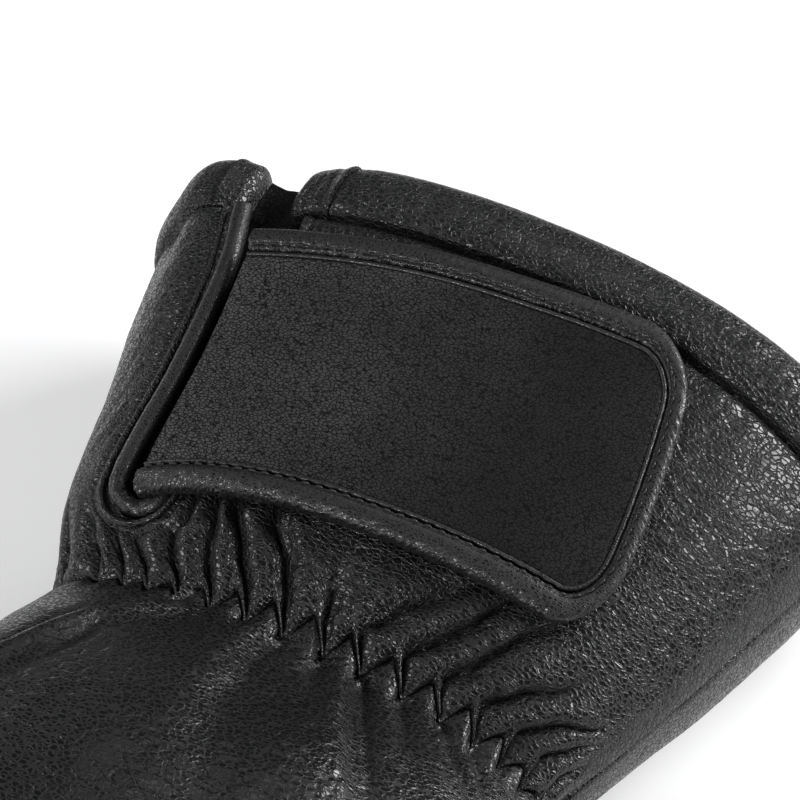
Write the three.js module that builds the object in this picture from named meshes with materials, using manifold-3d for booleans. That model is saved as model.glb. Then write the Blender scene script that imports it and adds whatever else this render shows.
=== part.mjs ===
// Padded leather mitten for the left hand, lying palm down with its open rim to the back.
// Millimetres, +Z up. In the layout below the gathered wrist line is y = 0, the fingertips point to -Y,
// the rim is on +Y and the thumb on -X. The last lines move the whole so that the middle of the
// underside of its box is the origin.
// Every leather panel is a closed wall, hollow inside, worked out from one family of cross-sections.

import * as THREE from 'three';
import { mergeVertices } from 'three/addons/utils/BufferGeometryUtils.js';
import Module from 'manifold-3d';

// Driving dimensions
const HAND_WALL = 4; // padded leather of the hand
const CUFF_WALL = 3.5; // padded leather of the cuff
const THUMB_WALL = 3.5;
const SEAM_GAP = 0.3; // clear gap between pieces that are sewn together
const SEAM_ANGLE = 0.25; // degrees that a hand panel keeps back from its seam
const DOME_START = -115; // where the finger end begins to round off
const DOME_LENGTH = 80; // from there to the fingertips
const DOME_BLUNTNESS = 2.5; // 2 being an ellipse
const RIM_SEAM = 66.4; // where the cuff panels end and the rim roll begins
const ROLL_LENGTH = 12; // along the cuff
const ROLL_THICKNESS = 6.8;
const ROLL_SET_IN = 1.2; // how far the roll's middle lies inside the leather's outer face
const ROLL_DROOP = 5; // how far the roll's two ends sink into the slit
const ROLL_DROOP_REACH = 16; // length of roll over which they sink
const ROLL_END_ROUNDING = 2; // length of roll over which its ends round off
const ROLL_END_SHRINK = 0.4; // part of its section that the roll loses at its very ends
const RIM_GAP = 3.8; // between the two ends of the roll
const END_WRAP_WIDTH = 8; // leather wrapped round each end of the roll
const END_WRAP_THICKNESS = 0.4;
const PIPING_RADIUS = 1.8;
const PIPING_OUT = 0.6; // height of the piping's middle over the leather on the side that shows
const PIPING_SUNK = -1.5; // the same on the side that the strap covers
const SLIT_CUT_TOP = 84; // the slit's cut runs on past the rim to here
const SLIT_CUT_DEPTH = 9; // how far the slit's cut runs to both sides of the leather's face
const GUSSET_THICKNESS = 1.2;
const GUSSET_OVERLAP = 3; // how far the gusset reaches under the leather beside the slit
const GUSSET_SAG = 1.6; // how much deeper the gusset's middle lies
const GUSSET_TOP = 76; // its upper end, between the ends of the roll
const STRAP_LENGTH = 88;
const STRAP_WIDTH = 47;
const STRAP_CORNER = 12; // radius at the free end
const STRAP_THICKNESS = 2;
const BINDING_WIDTH = 4.2;
const BINDING_THICKNESS = 3.3;
const ROUND_TOP = 2.25; // fullness of the upper half of a cross-section, 2 being an ellipse
const ROUND_BOTTOM = 3.2; // the same for the flatter lower half
const SWEEP_BACK = 3; // how far the sides lie towards the fingertips at the wrist
const SECTION_POWER = 0.8; // rounds the sections of the roll and the binding, 1 being an ellipse
const PLEAT_RISE = 3; // distance from the wrist at which the gathers stand highest
const FOLD_RISE = 4; // the same for the folds of the hand
const WRIST_SHARE = 0.45; // part of their depth that gathers and folds keep at the wrist itself
const HAND_SIDES = 48; // facets round the solid that trims the thumb
const THUMB_SIDES = 22;
// Where the wrist's middle lies once the middle of the underside is the origin
const WRIST_AT = { x: 13, y: 57 };

// Cross-sections: y, the left and right sides, the height of the widest line, the top and bottom,
// and how far the top runs ahead of the sides towards the rim.
const STATIONS = [
  { y: -115, left: -58, right: 58, side: 19, top: 47, bottom: -1, crown: 0 },
  { y: -60, left: -61, right: 58, side: 21, top: 54, bottom: -1, crown: 0 },
  { y: -30, left: -54.5, right: 54, side: 22, top: 51, bottom: 0, crown: 1 },
  { y: -14, left: -50, right: 50, side: 22, top: 45.5, bottom: 1, crown: 2 },
  { y: 0, left: -47.5, right: 46, side: 21, top: 38, bottom: 4, crown: 3 },
  { y: 14, left: -54, right: 50.5, side: 22, top: 43, bottom: 3, crown: 4 },
  { y: 32, left: -58, right: 57.5, side: 25, top: 49, bottom: 2, crown: 6 },
  { y: 52, left: -63.5, right: 64, side: 27, top: 54, bottom: 2, crown: 8 },
  { y: 74, left: -68, right: 69.5, side: 28, top: 56.5, bottom: 2, crown: 8.5 },
  { y: 95, left: -66, right: 73, side: 28, top: 57.5, bottom: 2, crown: 8.5 },
];

// The leather left of the slit stands up towards the rim: the angle of its crest, its height, its
// half-width in degrees, and where along the cuff it rises.
const FLAP = { angle: 147, rise: 2.9, width: 11, from: 30, to: 62 };

// Gathers over the back of the cuff: the angle of each valley at the wrist, the angle it fans out to,
// how far it reaches up the cuff, and its depth. Angles are in degrees, 0 at +X and 90 on top.
const BACK_PLEATS = [
  { at: 4, to: 4, reach: 12, depth: 0.5 },
  { at: 14, to: 8, reach: 14, depth: 1.2 },
  { at: 25, to: 15, reach: 16, depth: 1.6 },
  { at: 36, to: 24, reach: 18, depth: 1.6 },
  { at: 46, to: 32, reach: 20, depth: 1.6 },
  { at: 56, to: 42, reach: 24, depth: 1.7 },
  { at: 67, to: 53, reach: 28, depth: 1.8 },
  { at: 77, to: 65, reach: 26, depth: 1.8 },
  { at: 85, to: 78, reach: 20, depth: 1.6 },
  { at: 92, to: 90, reach: 18, depth: 1.6 },
  { at: 100, to: 103, reach: 16, depth: 1.6 },
  { at: 108, to: 114, reach: 15, depth: 1.5 },
  { at: 116, to: 123, reach: 13, depth: 1.4 },
  { at: 124, to: 132, reach: 12, depth: 1.3 },
  { at: 132, to: 141, reach: 11, depth: 1.2 },
  { at: 141, to: 149, reach: 11, depth: 1.2 },
  { at: 151, to: 157, reach: 12, depth: 1.2 },
  { at: 162, to: 166, reach: 12, depth: 1.1 },
  { at: 176, to: 176, reach: 12, depth: 0.5 },
];
const PALM_PLEAT_COUNT = 16;
const PALM_PLEAT = { reach: 12, depth: 1.1 };

// Drag folds that run from the wrist over the back of the hand: angle at the wrist and at their end,
// reach towards the fingertips, half-width in degrees, and depth.
const HAND_FOLDS = [
  { at: 92, to: 91, reach: 45, width: 6, depth: 2 },
  { at: 85, to: 78, reach: 18, width: 4, depth: 1.6 },
  { at: 76, to: 68, reach: 30, width: 5, depth: 2.6 },
  { at: 66, to: 60, reach: 16, width: 4, depth: 1.5 },
  { at: 56, to: 42, reach: 24, width: 5, depth: 2.2 },
  { at: 112, to: 104, reach: 22, width: 5, depth: 1.1 },
];

// Seams between the back and palm panels of the hand: angle on the thumb side and on the far side.
const HAND_SEAMS = [
  { y: -195, thumbSide: 180, farSide: 0 },
  { y: -150, thumbSide: 166, farSide: 2 },
  { y: -100, thumbSide: 150, farSide: 4 },
  { y: -60, thumbSide: 146, farSide: 4 },
  { y: -26, thumbSide: 133, farSide: 4 },
  { y: -10, thumbSide: 122, farSide: 4 },
  { y: 0, thumbSide: 113, farSide: 4 },
];

// Thumb: the middle line, half width and half height, from inside the hand to the tip.
const THUMB = [
  { along: 0, x: -26, y: -36, z: 18, wide: 24, high: 16 },
  { along: 0.4, x: -53, y: -64, z: 18, wide: 24, high: 16 },
  { along: 0.75, x: -74, y: -96, z: 17, wide: 22, high: 15.5 },
  { along: 1, x: -85, y: -125, z: 16, wide: 19, high: 14.5 },
];
const THUMB_ROUNDING = 0.8; // where along the thumb its tip begins to round off

// The slit: the angle of its middle and half the distance between its two pipings.
const SLIT = [
  { y: 14.5, angle: 132.8, half: 4.2 },
  { y: 32, angle: 131, half: 3.8 },
  { y: 52, angle: 129.2, half: 4 },
  { y: 72, angle: 132.3, half: 5 },
];
const SLIT_END = SLIT[0].y;
const SLIT_AT_RIM = SLIT[SLIT.length - 1].angle;

// The strap's long edges, from the slit to the free end.
const STRAP_EDGES = [
  { along: 0, lowAngle: 131.2, lowY: 10.6, highAngle: 128.6, highY: 56.9 },
  { along: 0.5, lowAngle: 87, lowY: 15.3, highAngle: 96, highY: 61.8 },
  { along: 1, lowAngle: 43, lowY: 19, highAngle: 64, highY: 67 },
];
const STRAP_LIFT = { middle: 0.9, low: 2.2, high: 1.1 }; // clearance, and what the edges add to it

// Value of a column of a table between its rows, along a smooth curve through them.
function smooth(table, key, at, column) {
  const last = table.length - 1;
  const where = THREE.MathUtils.clamp(at, table[0][key], table[last][key]);
  let i = 0;
  while (i < last - 1 && where > table[i + 1][key]) {
    i += 1;
  }
  const slope = (k) => (table[k + 1][column] - table[k][column]) / (table[k + 1][key] - table[k][key]);
  const tangent = (k) => {
    if (k === 0) {
      return slope(0);
    }
    if (k === last) {
      return slope(last - 1);
    }
    const before = table[k][key] - table[k - 1][key];
    const after = table[k + 1][key] - table[k][key];
    return (slope(k - 1) * after + slope(k) * before) / (before + after);
  };
  const step = table[i + 1][key] - table[i][key];
  const t = (where - table[i][key]) / step;
  const fromValue = (2 * t ** 3 - 3 * t ** 2 + 1) * table[i][column];
  const toValue = (3 * t ** 2 - 2 * t ** 3) * table[i + 1][column];
  const fromSlope = (t ** 3 - 2 * t ** 2 + t) * step * tangent(i);
  const toSlope = (t ** 3 - t ** 2) * step * tangent(i + 1);
  return fromValue + toValue + fromSlope + toSlope;
}

function signedPower(value, power) {
  return Math.sign(value) * Math.abs(value) ** power;
}

// A valley or crest of height 1 that fades on both sides of its middle.
function bell(distance, width) {
  return Math.exp(-((distance / width) ** 2));
}

// A point of the mitten's skin, moved out (or in, if negative) by a distance. The underside is
// pressed flat where it would reach below the surface the mitten lies on.
function skin(angle, y, distance) {
  const flap = FLAP.rise * bell(angle - FLAP.angle, FLAP.width);
  const out = distance + flap * THREE.MathUtils.smoothstep(y, FLAP.from, FLAP.to);
  const past = Math.max(0, DOME_START - y) / DOME_LENGTH;
  const shrink = Math.max(0, 1 - past ** DOME_BLUNTNESS) ** (1 / DOME_BLUNTNESS);
  const at = (column) => smooth(STATIONS, 'y', y, column);
  const across = Math.cos(THREE.MathUtils.degToRad(angle));
  const upright = Math.sin(THREE.MathUtils.degToRad(angle));
  const fullness = 2 / (upright >= 0 ? ROUND_TOP : ROUND_BOTTOM);
  const middle = (at('left') + at('right')) / 2;
  const halfWidth = ((at('right') - at('left')) / 2 + out) * shrink;
  const height = upright >= 0 ? at('top') - at('side') + out : at('side') - at('bottom') + out;
  const lead = at('crown') * Math.max(0, upright) ** 1.5 - SWEEP_BACK;
  const yInLayout = y >= DOME_START ? y : DOME_START - past * (DOME_LENGTH + out);
  return new THREE.Vector3(
    middle + halfWidth * signedPower(across, fullness),
    yInLayout + lead,
    Math.max(at('side') + height * shrink * signedPower(upright, fullness), -Math.min(distance, 0)),
  );
}

// Unit vectors at a point of the skin: outwards, towards the rim, and sideways to growing angles.
function skinFrame(angle, y, out) {
  const step = 0.5;
  const around = skin(angle + step, y, out).sub(skin(angle - step, y, out));
  const forward = skin(angle, y + step, out).sub(skin(angle, y - step, out)).normalize();
  const outwards = new THREE.Vector3().crossVectors(forward, around).normalize();
  const sideways = new THREE.Vector3().crossVectors(outwards, forward);
  return { outwards, forward, sideways };
}

// Gathers of the cuff: a grid line's angle and its displacement, by its number of pleats.
const palmPleats = Array.from({ length: PALM_PLEAT_COUNT + 1 }, (_, i) => {
  const from = BACK_PLEATS[BACK_PLEATS.length - 1].at;
  const to = BACK_PLEATS[0].at + 360;
  const at = THREE.MathUtils.lerp(from, to, i / PALM_PLEAT_COUNT);
  return { at, to: at, ...PALM_PLEAT };
});

function pleatAngle(pleats, turn, y) {
  const row = Math.min(Math.floor(turn), pleats.length - 2);
  const angleOf = ({ at, to, reach }) => at + (to - at) * THREE.MathUtils.smoothstep(y, 0, reach);
  return THREE.MathUtils.lerp(angleOf(pleats[row]), angleOf(pleats[row + 1]), turn - row);
}

function pleatHeight(pleats, turn, y) {
  const row = Math.min(Math.floor(turn), pleats.length - 2);
  const mix = (column) => THREE.MathUtils.lerp(pleats[row][column], pleats[row + 1][column], turn - row);
  const rise = THREE.MathUtils.lerp(WRIST_SHARE, 1, Math.min(1, y / PLEAT_RISE));
  const fade = Math.max(0, 1 - y / mix('reach')) ** 2;
  const wave = 1.8 * Math.abs(Math.sin(Math.PI * turn)) - 1;
  return mix('depth') * rise * fade * wave;
}

// Folds of the hand, as a height above the plain skin.
function foldHeight(angle, y) {
  let height = 0;
  for (const { at, to, reach, width, depth } of HAND_FOLDS) {
    const along = -y / reach;
    const middle = THREE.MathUtils.lerp(at, to, Math.min(1, along));
    const rise = THREE.MathUtils.lerp(WRIST_SHARE, 1, Math.min(1, -y / FOLD_RISE));
    height -= depth * rise * Math.max(0, 1 - along) * bell(angle - middle, width);
  }
  return height;
}

// Closed surfaces, built from quads. Corners that fall together drop the faces between them.
function quadSurface() {
  const corners = [];
  return {
    quad(a, b, c, d) {
      corners.push(a, b, c, a, c, d);
    },
    triangle(a, b, c) {
      corners.push(a, b, c);
    },
    geometry() {
      const loose = new THREE.BufferGeometry().setFromPoints(corners);
      const merged = mergeVertices(loose, 1e-3);
      const index = merged.index.array;
      const kept = [];
      for (let i = 0; i < index.length; i += 3) {
        const [a, b, c] = [index[i], index[i + 1], index[i + 2]];
        if (a !== b && b !== c && c !== a) {
          kept.push(a, b, c);
        }
      }
      merged.setIndex(kept);
      return facingOut(merged);
    },
  };
}

function facingOut(geometry) {
  const corner = (i) => new THREE.Vector3().fromBufferAttribute(geometry.attributes.position, i);
  const index = geometry.index.array;
  let volume = 0;
  for (let i = 0; i < index.length; i += 3) {
    const cross = corner(index[i + 1]).cross(corner(index[i + 2]));
    volume += corner(index[i]).dot(cross);
  }
  if (volume < 0) {
    geometry.setIndex(Array.from(index).reverse());
  }
  return geometry;
}

// A panel with a wall: an outer and an inner grid, joined round their borders.
function panel(columns, rows, outer, inner) {
  const surface = quadSurface();
  const out = columns.map((column) => rows.map((row) => outer(column, row)));
  const within = columns.map((column) => rows.map((row) => inner(column, row)));
  const lastColumn = columns.length - 1;
  const lastRow = rows.length - 1;
  const [outEnd, withinEnd] = [out[lastColumn], within[lastColumn]];
  for (let i = 0; i < lastColumn; i += 1) {
    for (let j = 0; j < lastRow; j += 1) {
      surface.quad(out[i][j], out[i + 1][j], out[i + 1][j + 1], out[i][j + 1]);
      surface.quad(within[i][j + 1], within[i + 1][j + 1], within[i + 1][j], within[i][j]);
    }
    surface.quad(out[i + 1][0], out[i][0], within[i][0], within[i + 1][0]);
    surface.quad(out[i][lastRow], out[i + 1][lastRow], within[i + 1][lastRow], within[i][lastRow]);
  }
  for (let j = 0; j < lastRow; j += 1) {
    surface.quad(out[0][j], out[0][j + 1], within[0][j + 1], within[0][j]);
    surface.quad(outEnd[j + 1], outEnd[j], withinEnd[j], withinEnd[j + 1]);
  }
  return surface.geometry();
}

// A solid bar: rings of points one after the other, each end closed by a fan.
function bar(rings) {
  const surface = quadSurface();
  const sides = rings[0].length;
  for (let i = 0; i < rings.length - 1; i += 1) {
    for (let j = 0; j < sides; j += 1) {
      const k = (j + 1) % sides;
      surface.quad(rings[i][j], rings[i][k], rings[i + 1][k], rings[i + 1][j]);
    }
  }
  const centreOf = (ring) => ring.reduce((sum, p) => sum.add(p), new THREE.Vector3()).divideScalar(sides);
  const first = rings[0];
  const last = rings[rings.length - 1];
  const firstCentre = centreOf(first);
  const lastCentre = centreOf(last);
  for (let j = 0; j < sides; j += 1) {
    const k = (j + 1) % sides;
    surface.triangle(first[k], first[j], firstCentre);
    surface.triangle(last[j], last[k], lastCentre);
  }
  return surface.geometry();
}

// Evenly spaced numbers, both ends included.
function steps(count, from, to) {
  return Array.from({ length: count + 1 }, (_, i) => THREE.MathUtils.lerp(from, to, i / count));
}

const wasm = await Module();
wasm.setup();

function toSolid(geometry) {
  const mesh = new wasm.Mesh({
    numProp: 3,
    vertProperties: geometry.attributes.position.array,
    triVerts: new Uint32Array(geometry.index.array),
  });
  return new wasm.Manifold(mesh);
}

function toGeometry(solid) {
  const mesh = solid.getMesh();
  const geometry = new THREE.BufferGeometry();
  geometry.setAttribute('position', new THREE.BufferAttribute(mesh.vertProperties, 3));
  geometry.setIndex(new THREE.BufferAttribute(mesh.triVerts, 1));
  return geometry;
}

// Hand
const DOME_ROWS = [0.25, 0.48, 0.68, 0.83, 0.93, 0.985, 1];
const HAND_ROWS = [
  ...[-SEAM_GAP / 2, -4, -10, -18, -32, -56, -86, DOME_START],
  ...DOME_ROWS.map((part) => DOME_START - part * DOME_LENGTH),
];

function handPanel(from, to, columnCount, lift) {
  const angleAt = (part, y) => {
    const start = smooth(HAND_SEAMS, 'y', y, from.column) + from.turn + SEAM_ANGLE;
    const end = smooth(HAND_SEAMS, 'y', y, to.column) + to.turn - SEAM_ANGLE;
    return THREE.MathUtils.lerp(start, end, part);
  };
  const raised = new THREE.Vector3(0, 0, lift);
  const outer = (part, y) => {
    const angle = angleAt(part, y);
    return skin(angle, y, angle < 180 ? foldHeight(angle, y) : 0).add(raised);
  };
  const inner = (part, y) => skin(angleAt(part, y), y, -HAND_WALL).add(raised);
  return panel(steps(columnCount, 0, 1), HAND_ROWS, outer, inner);
}

function handBack() {
  return handPanel({ column: 'farSide', turn: 0 }, { column: 'thumbSide', turn: 0 }, 28, SEAM_GAP);
}

function handPalm() {
  const closed = handPanel({ column: 'thumbSide', turn: 0 }, { column: 'farSide', turn: 360 }, 30, 0);
  return toGeometry(toSolid(closed).subtract(toSolid(thumbTube(-THUMB_WALL))));
}

// A closed solid that fills the hand up to a distance outside its skin.
function handFilled(out) {
  const angles = steps(HAND_SIDES, 0, 360).slice(1);
  return bar(HAND_ROWS.map((y) => angles.map((angle) => skin(angle, y, out))));
}

// Thumb
function thumbTube(out) {
  const alongThumb = [0, 0.2, 0.4, 0.6, 0.7, THUMB_ROUNDING, 0.87, 0.93, 0.975, 0.995, 1];
  const at = (along, column) => smooth(THUMB, 'along', along, column);
  const rings = alongThumb.map((along) => {
    const past = Math.max(0, along - THUMB_ROUNDING) / (1 - THUMB_ROUNDING);
    const shrink = Math.sqrt(Math.max(0, 1 - past * past));
    const back = new THREE.Vector3(at(0.9, 'x') - at(1, 'x'), at(0.9, 'y') - at(1, 'y'), 0);
    const pull = back.setLength(-out * past);
    return steps(THUMB_SIDES, 0, 360).slice(1).map((angle) => {
      const turned = THREE.MathUtils.degToRad(angle);
      const step = 0.02;
      const runX = at(along + step, 'x') - at(along - step, 'x');
      const runY = at(along + step, 'y') - at(along - step, 'y');
      const wide = (at(along, 'wide') + out) * shrink * Math.cos(turned);
      const high = (at(along, 'high') + out) * shrink * Math.sin(turned);
      const across = new THREE.Vector3(-runY, runX, 0).setLength(1).multiplyScalar(wide);
      return new THREE.Vector3(at(along, 'x'), at(along, 'y'), at(along, 'z') + high).add(across).add(pull);
    });
  });
  return bar(rings);
}

function thumb() {
  const outside = toSolid(thumbTube(0)).subtract(toSolid(handFilled(SEAM_GAP + 0.1)));
  return toGeometry(outside.subtract(toSolid(thumbTube(-THUMB_WALL))));
}

// Cuff
const CUFF_ROWS = [SEAM_GAP / 2, 3, 7, 12, 18, 26, 38, 52, RIM_SEAM - SEAM_GAP];

function cuffPanel(pleats, columnsPerPleat, lift) {
  const turns = steps((pleats.length - 1) * columnsPerPleat, 0, pleats.length - 1);
  const raised = new THREE.Vector3(0, 0, lift);
  const outer = (turn, y) => skin(pleatAngle(pleats, turn, y), y, pleatHeight(pleats, turn, y)).add(raised);
  const inner = (turn, y) => skin(pleatAngle(pleats, turn, y), y, -CUFF_WALL).add(raised);
  return panel(turns, CUFF_ROWS, outer, inner);
}

function cuffBack() {
  const whole = toSolid(cuffPanel(BACK_PLEATS, 3, SEAM_GAP));
  return toGeometry(whole.subtract(toSolid(slitCutter())));
}

function cuffPalm() {
  return cuffPanel(palmPleats, 2, 0);
}

// Slit: an outline that runs down one side, round the end and up the other side.
function slitOutline(extra, outAt, sideRows) {
  const onLine = (y, part, turn) => {
    const angle = smooth(SLIT, 'y', y, 'angle');
    const reach = smooth(SLIT, 'y', y, 'half') + extra;
    const { outwards, forward, sideways } = skinFrame(angle, y, 0);
    return skin(angle, y, 0)
      .addScaledVector(sideways, reach * Math.cos(turn))
      .addScaledVector(forward, -reach * Math.sin(turn))
      .addScaledVector(outwards, outAt(part));
  };
  const down = sideRows.map((y) => onLine(y, 0, 0));
  const round = steps(8, 0, 1).map((part) => onLine(SLIT_END, part, part * Math.PI));
  const up = [...sideRows].reverse().map((y) => onLine(y, 1, Math.PI));
  return [...down, ...round, ...up];
}

const SLIT_ROWS = [RIM_SEAM - 1, 60, 52, 42, 32, 24, 18];

function slitCutter() {
  const sideRows = [SLIT_CUT_TOP, ...SLIT_ROWS];
  const clear = PIPING_RADIUS + SEAM_GAP;
  const top = slitOutline(clear, () => SLIT_CUT_DEPTH, sideRows);
  const bottom = slitOutline(clear, () => -SLIT_CUT_DEPTH, sideRows);
  const surface = quadSurface();
  const count = top.length;
  for (let i = 0; i < count; i += 1) {
    const j = (i + 1) % count;
    surface.quad(top[i], top[j], bottom[j], bottom[i]);
  }
  for (let i = 0; i < (count - 1) / 2; i += 1) {
    const [a, b, c, d] = [i, i + 1, count - 2 - i, count - 1 - i];
    surface.quad(top[d], top[c], top[b], top[a]);
    surface.quad(bottom[a], bottom[b], bottom[c], bottom[d]);
  }
  return surface.geometry();
}

function slitPiping() {
  // The side under the strap lies deeper in the slit than the side that shows.
  const outAt = (part) => {
    const covered = THREE.MathUtils.smoothstep(part, 0, 0.6);
    return THREE.MathUtils.lerp(PIPING_OUT, PIPING_SUNK, covered);
  };
  const centres = slitOutline(0, outAt, SLIT_ROWS);
  return bar(roundSections(centres, PIPING_RADIUS, 8));
}

// Gusset: the leather that closes the slit from behind, narrow where it passes between the roll's ends.
function slitGusset() {
  const narrowFrom = RIM_SEAM - 2;
  const narrowTo = RIM_SEAM - 0.6;
  const rows = [SLIT_END - 5, 14, 24, 36, 48, 58, narrowFrom, narrowTo, 71, GUSSET_TOP];
  const narrowed = (y, wide, narrow) => (
    THREE.MathUtils.lerp(wide, narrow, THREE.MathUtils.smoothstep(y, narrowFrom, narrowTo)));
  const reachAt = (y) => {
    const wide = smooth(SLIT, 'y', y, 'half') + PIPING_RADIUS + GUSSET_OVERLAP;
    return narrowed(y, wide, RIM_GAP / 2 - SEAM_GAP);
  };
  const point = (deeper) => (across, y) => {
    const middle = narrowed(y, smooth(SLIT, 'y', y, 'angle'), SLIT_AT_RIM);
    const angle = middle + across * degreesFor(reachAt(y), middle, y);
    const depth = CUFF_WALL + SEAM_GAP + GUSSET_SAG * (1 - across * across) + deeper;
    return skin(angle, y, 0).addScaledVector(skinFrame(angle, y, 0).outwards, -depth);
  };
  return panel(steps(8, -1, 1), rows, point(0), point(GUSSET_THICKNESS));
}

// Round sections across a line of points.
function roundSections(centres, radius, sides) {
  const up = new THREE.Vector3(0, 0, 1);
  return centres.map((centre, i) => {
    const before = centres[Math.max(0, i - 1)];
    const after = centres[Math.min(centres.length - 1, i + 1)];
    const run = after.clone().sub(before).normalize();
    const across = new THREE.Vector3().crossVectors(run, up).normalize();
    const over = new THREE.Vector3().crossVectors(across, run);
    return steps(sides, 0, 2 * Math.PI).slice(1).map((turn) => centre
      .clone()
      .addScaledVector(across, radius * Math.cos(turn))
      .addScaledVector(over, radius * Math.sin(turn)));
  });
}

// Degrees round the skin for a distance along it.
function degreesFor(distance, angle, y) {
  return distance / skin(angle + 1, y, 0).distanceTo(skin(angle, y, 0));
}

const ROLL_MIDDLE = RIM_SEAM + ROLL_LENGTH / 2;
const rimDegrees = (distance) => degreesFor(distance, SLIT_AT_RIM, ROLL_MIDDLE);
const leftEnd = { from: SLIT_AT_RIM + rimDegrees(RIM_GAP / 2) };
leftEnd.to = leftEnd.from + rimDegrees(END_WRAP_WIDTH);
const rightEnd = { to: SLIT_AT_RIM - rimDegrees(RIM_GAP / 2) };
rightEnd.from = rightEnd.to - rimDegrees(END_WRAP_WIDTH);

// Rim roll and its two wrapped ends: one rounded section carried round the rim. Near the slit it
// sinks, and its ends round off.
function rollPiece(fromAngle, toAngle, count, thicker) {
  const section = steps(10, 0, 2 * Math.PI).slice(1).map((turn) => ({
    along: (ROLL_LENGTH / 2) * signedPower(Math.cos(turn), SECTION_POWER),
    over: (ROLL_THICKNESS / 2 + thicker) * signedPower(Math.sin(turn), SECTION_POWER),
  }));
  const degreesBetween = (a, b) => Math.abs(((a - b + 540) % 360) - 180);
  const rings = steps(count, fromAngle, toAngle).map((angle) => {
    const { outwards } = skinFrame(angle, ROLL_MIDDLE, 0);
    const degreesToEnd = Math.min(degreesBetween(angle, leftEnd.from), degreesBetween(angle, rightEnd.to));
    const toEnd = degreesToEnd / rimDegrees(1);
    const sunk = ROLL_SET_IN + ROLL_DROOP * Math.max(0, 1 - toEnd / ROLL_DROOP_REACH) ** 2;
    const size = 1 - ROLL_END_SHRINK * Math.max(0, 1 - toEnd / ROLL_END_ROUNDING) ** 2;
    return section.map(({ along, over }) => {
      const point = skin(angle, ROLL_MIDDLE + along * size, 0).addScaledVector(outwards, over * size - sunk);
      point.z = Math.max(point.z, 0);
      return point;
    });
  });
  return bar(rings);
}

function rimRoll() {
  const gap = rimDegrees(SEAM_GAP);
  return rollPiece(leftEnd.to + gap, rightEnd.from - gap + 360, 60, 0);
}

// Strap: place on the cuff by distance from the slit and distance from the strap's middle line.
function strapPoint(along, across, height) {
  const part = along / STRAP_LENGTH;
  const upwards = across / STRAP_WIDTH + 0.5;
  const mix = (low, high) => THREE.MathUtils.lerp(
    smooth(STRAP_EDGES, 'along', part, low),
    smooth(STRAP_EDGES, 'along', part, high),
    upwards,
  );
  const lowRise = STRAP_LIFT.low * (1 - upwards) ** 2 * Math.sin(Math.PI * part ** 0.8);
  const highRise = STRAP_LIFT.high * upwards ** 3;
  const lift = STRAP_LIFT.middle + lowRise + highRise;
  return skin(mix('lowAngle', 'highAngle'), mix('lowY', 'highY'), lift + height);
}

function strapPanel() {
  const inset = BINDING_WIDTH + SEAM_GAP;
  const halfWidth = STRAP_WIDTH / 2 - inset;
  const radius = STRAP_CORNER - inset;
  const endAt = (across) => {
    const intoCorner = Math.max(0, Math.abs(across) - (halfWidth - radius));
    return STRAP_LENGTH - inset - radius + Math.sqrt(radius * radius - intoCorner * intoCorner);
  };
  const acrossAt = steps(8, -Math.PI / 2, Math.PI / 2).map((turn) => halfWidth * Math.sin(turn));
  const point = (height) => (part, across) => strapPoint(part * endAt(across), across, height);
  return panel(steps(18, 0, 1), acrossAt, point(STRAP_THICKNESS), point(0));
}

// The strap's edge, an inset in from it: places along its two long sides and round the free end.
function strapEdge(inset) {
  const halfWidth = STRAP_WIDTH / 2 - inset;
  const radius = STRAP_CORNER - inset;
  const straight = STRAP_LENGTH - inset - radius;
  const shift = halfWidth - radius;
  const placesAt = (turns, alongs, middles) => turns.map((turn, i) => {
    const outAlong = Math.cos(THREE.MathUtils.degToRad(turn));
    const outAcross = Math.sin(THREE.MathUtils.degToRad(turn));
    const along = alongs[i] + radius * outAlong;
    const across = middles[i] + radius * outAcross;
    return { along, across, outAlong, outAcross };
  });
  const same = (count, value) => Array.from({ length: count }, () => value);
  const lowTurns = steps(5, -90, 0).slice(1, -1);
  const highTurns = steps(5, 0, 90).slice(1, -1);
  return [
    ...placesAt(same(15, -90), steps(14, 0, straight), same(15, -shift)),
    ...placesAt(lowTurns, same(4, straight), same(4, -shift)),
    ...placesAt(same(5, 0), same(5, straight), steps(4, -shift, shift)),
    ...placesAt(highTurns, same(4, straight), same(4, shift)),
    ...placesAt(same(15, 90), steps(14, straight, 0), same(15, shift)),
  ];
}

function strapBinding() {
  const path = strapEdge(BINDING_WIDTH / 2);
  const middleHeight = BINDING_THICKNESS / 2 - 0.2;
  const rings = path.map(({ along, across, outAlong, outAcross }) => (
    steps(8, 0, 2 * Math.PI).slice(1).map((turn) => {
      const outwards = (BINDING_WIDTH / 2) * signedPower(Math.cos(turn), SECTION_POWER);
      const height = middleHeight + (BINDING_THICKNESS / 2) * signedPower(Math.sin(turn), SECTION_POWER);
      return strapPoint(along + outwards * outAlong, across + outwards * outAcross, height);
    })));
  return bar(rings);
}

// Leather finishes
const grainLeather = new THREE.MeshStandardMaterial({ color: '#343637', roughness: 0.5, metalness: 0 });
const strapLeather = new THREE.MeshStandardMaterial({ color: '#303231', roughness: 0.65, metalness: 0 });
const trimLeather = new THREE.MeshStandardMaterial({ color: '#2b2d2e', roughness: 0.4, metalness: 0 });

const mitten = new THREE.Group();
mitten.position.set(WRIST_AT.x, WRIST_AT.y, 0);

function addPiece(name, geometry, material) {
  const mesh = new THREE.Mesh(geometry, material);
  mesh.name = name;
  mitten.add(mesh);
}

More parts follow.
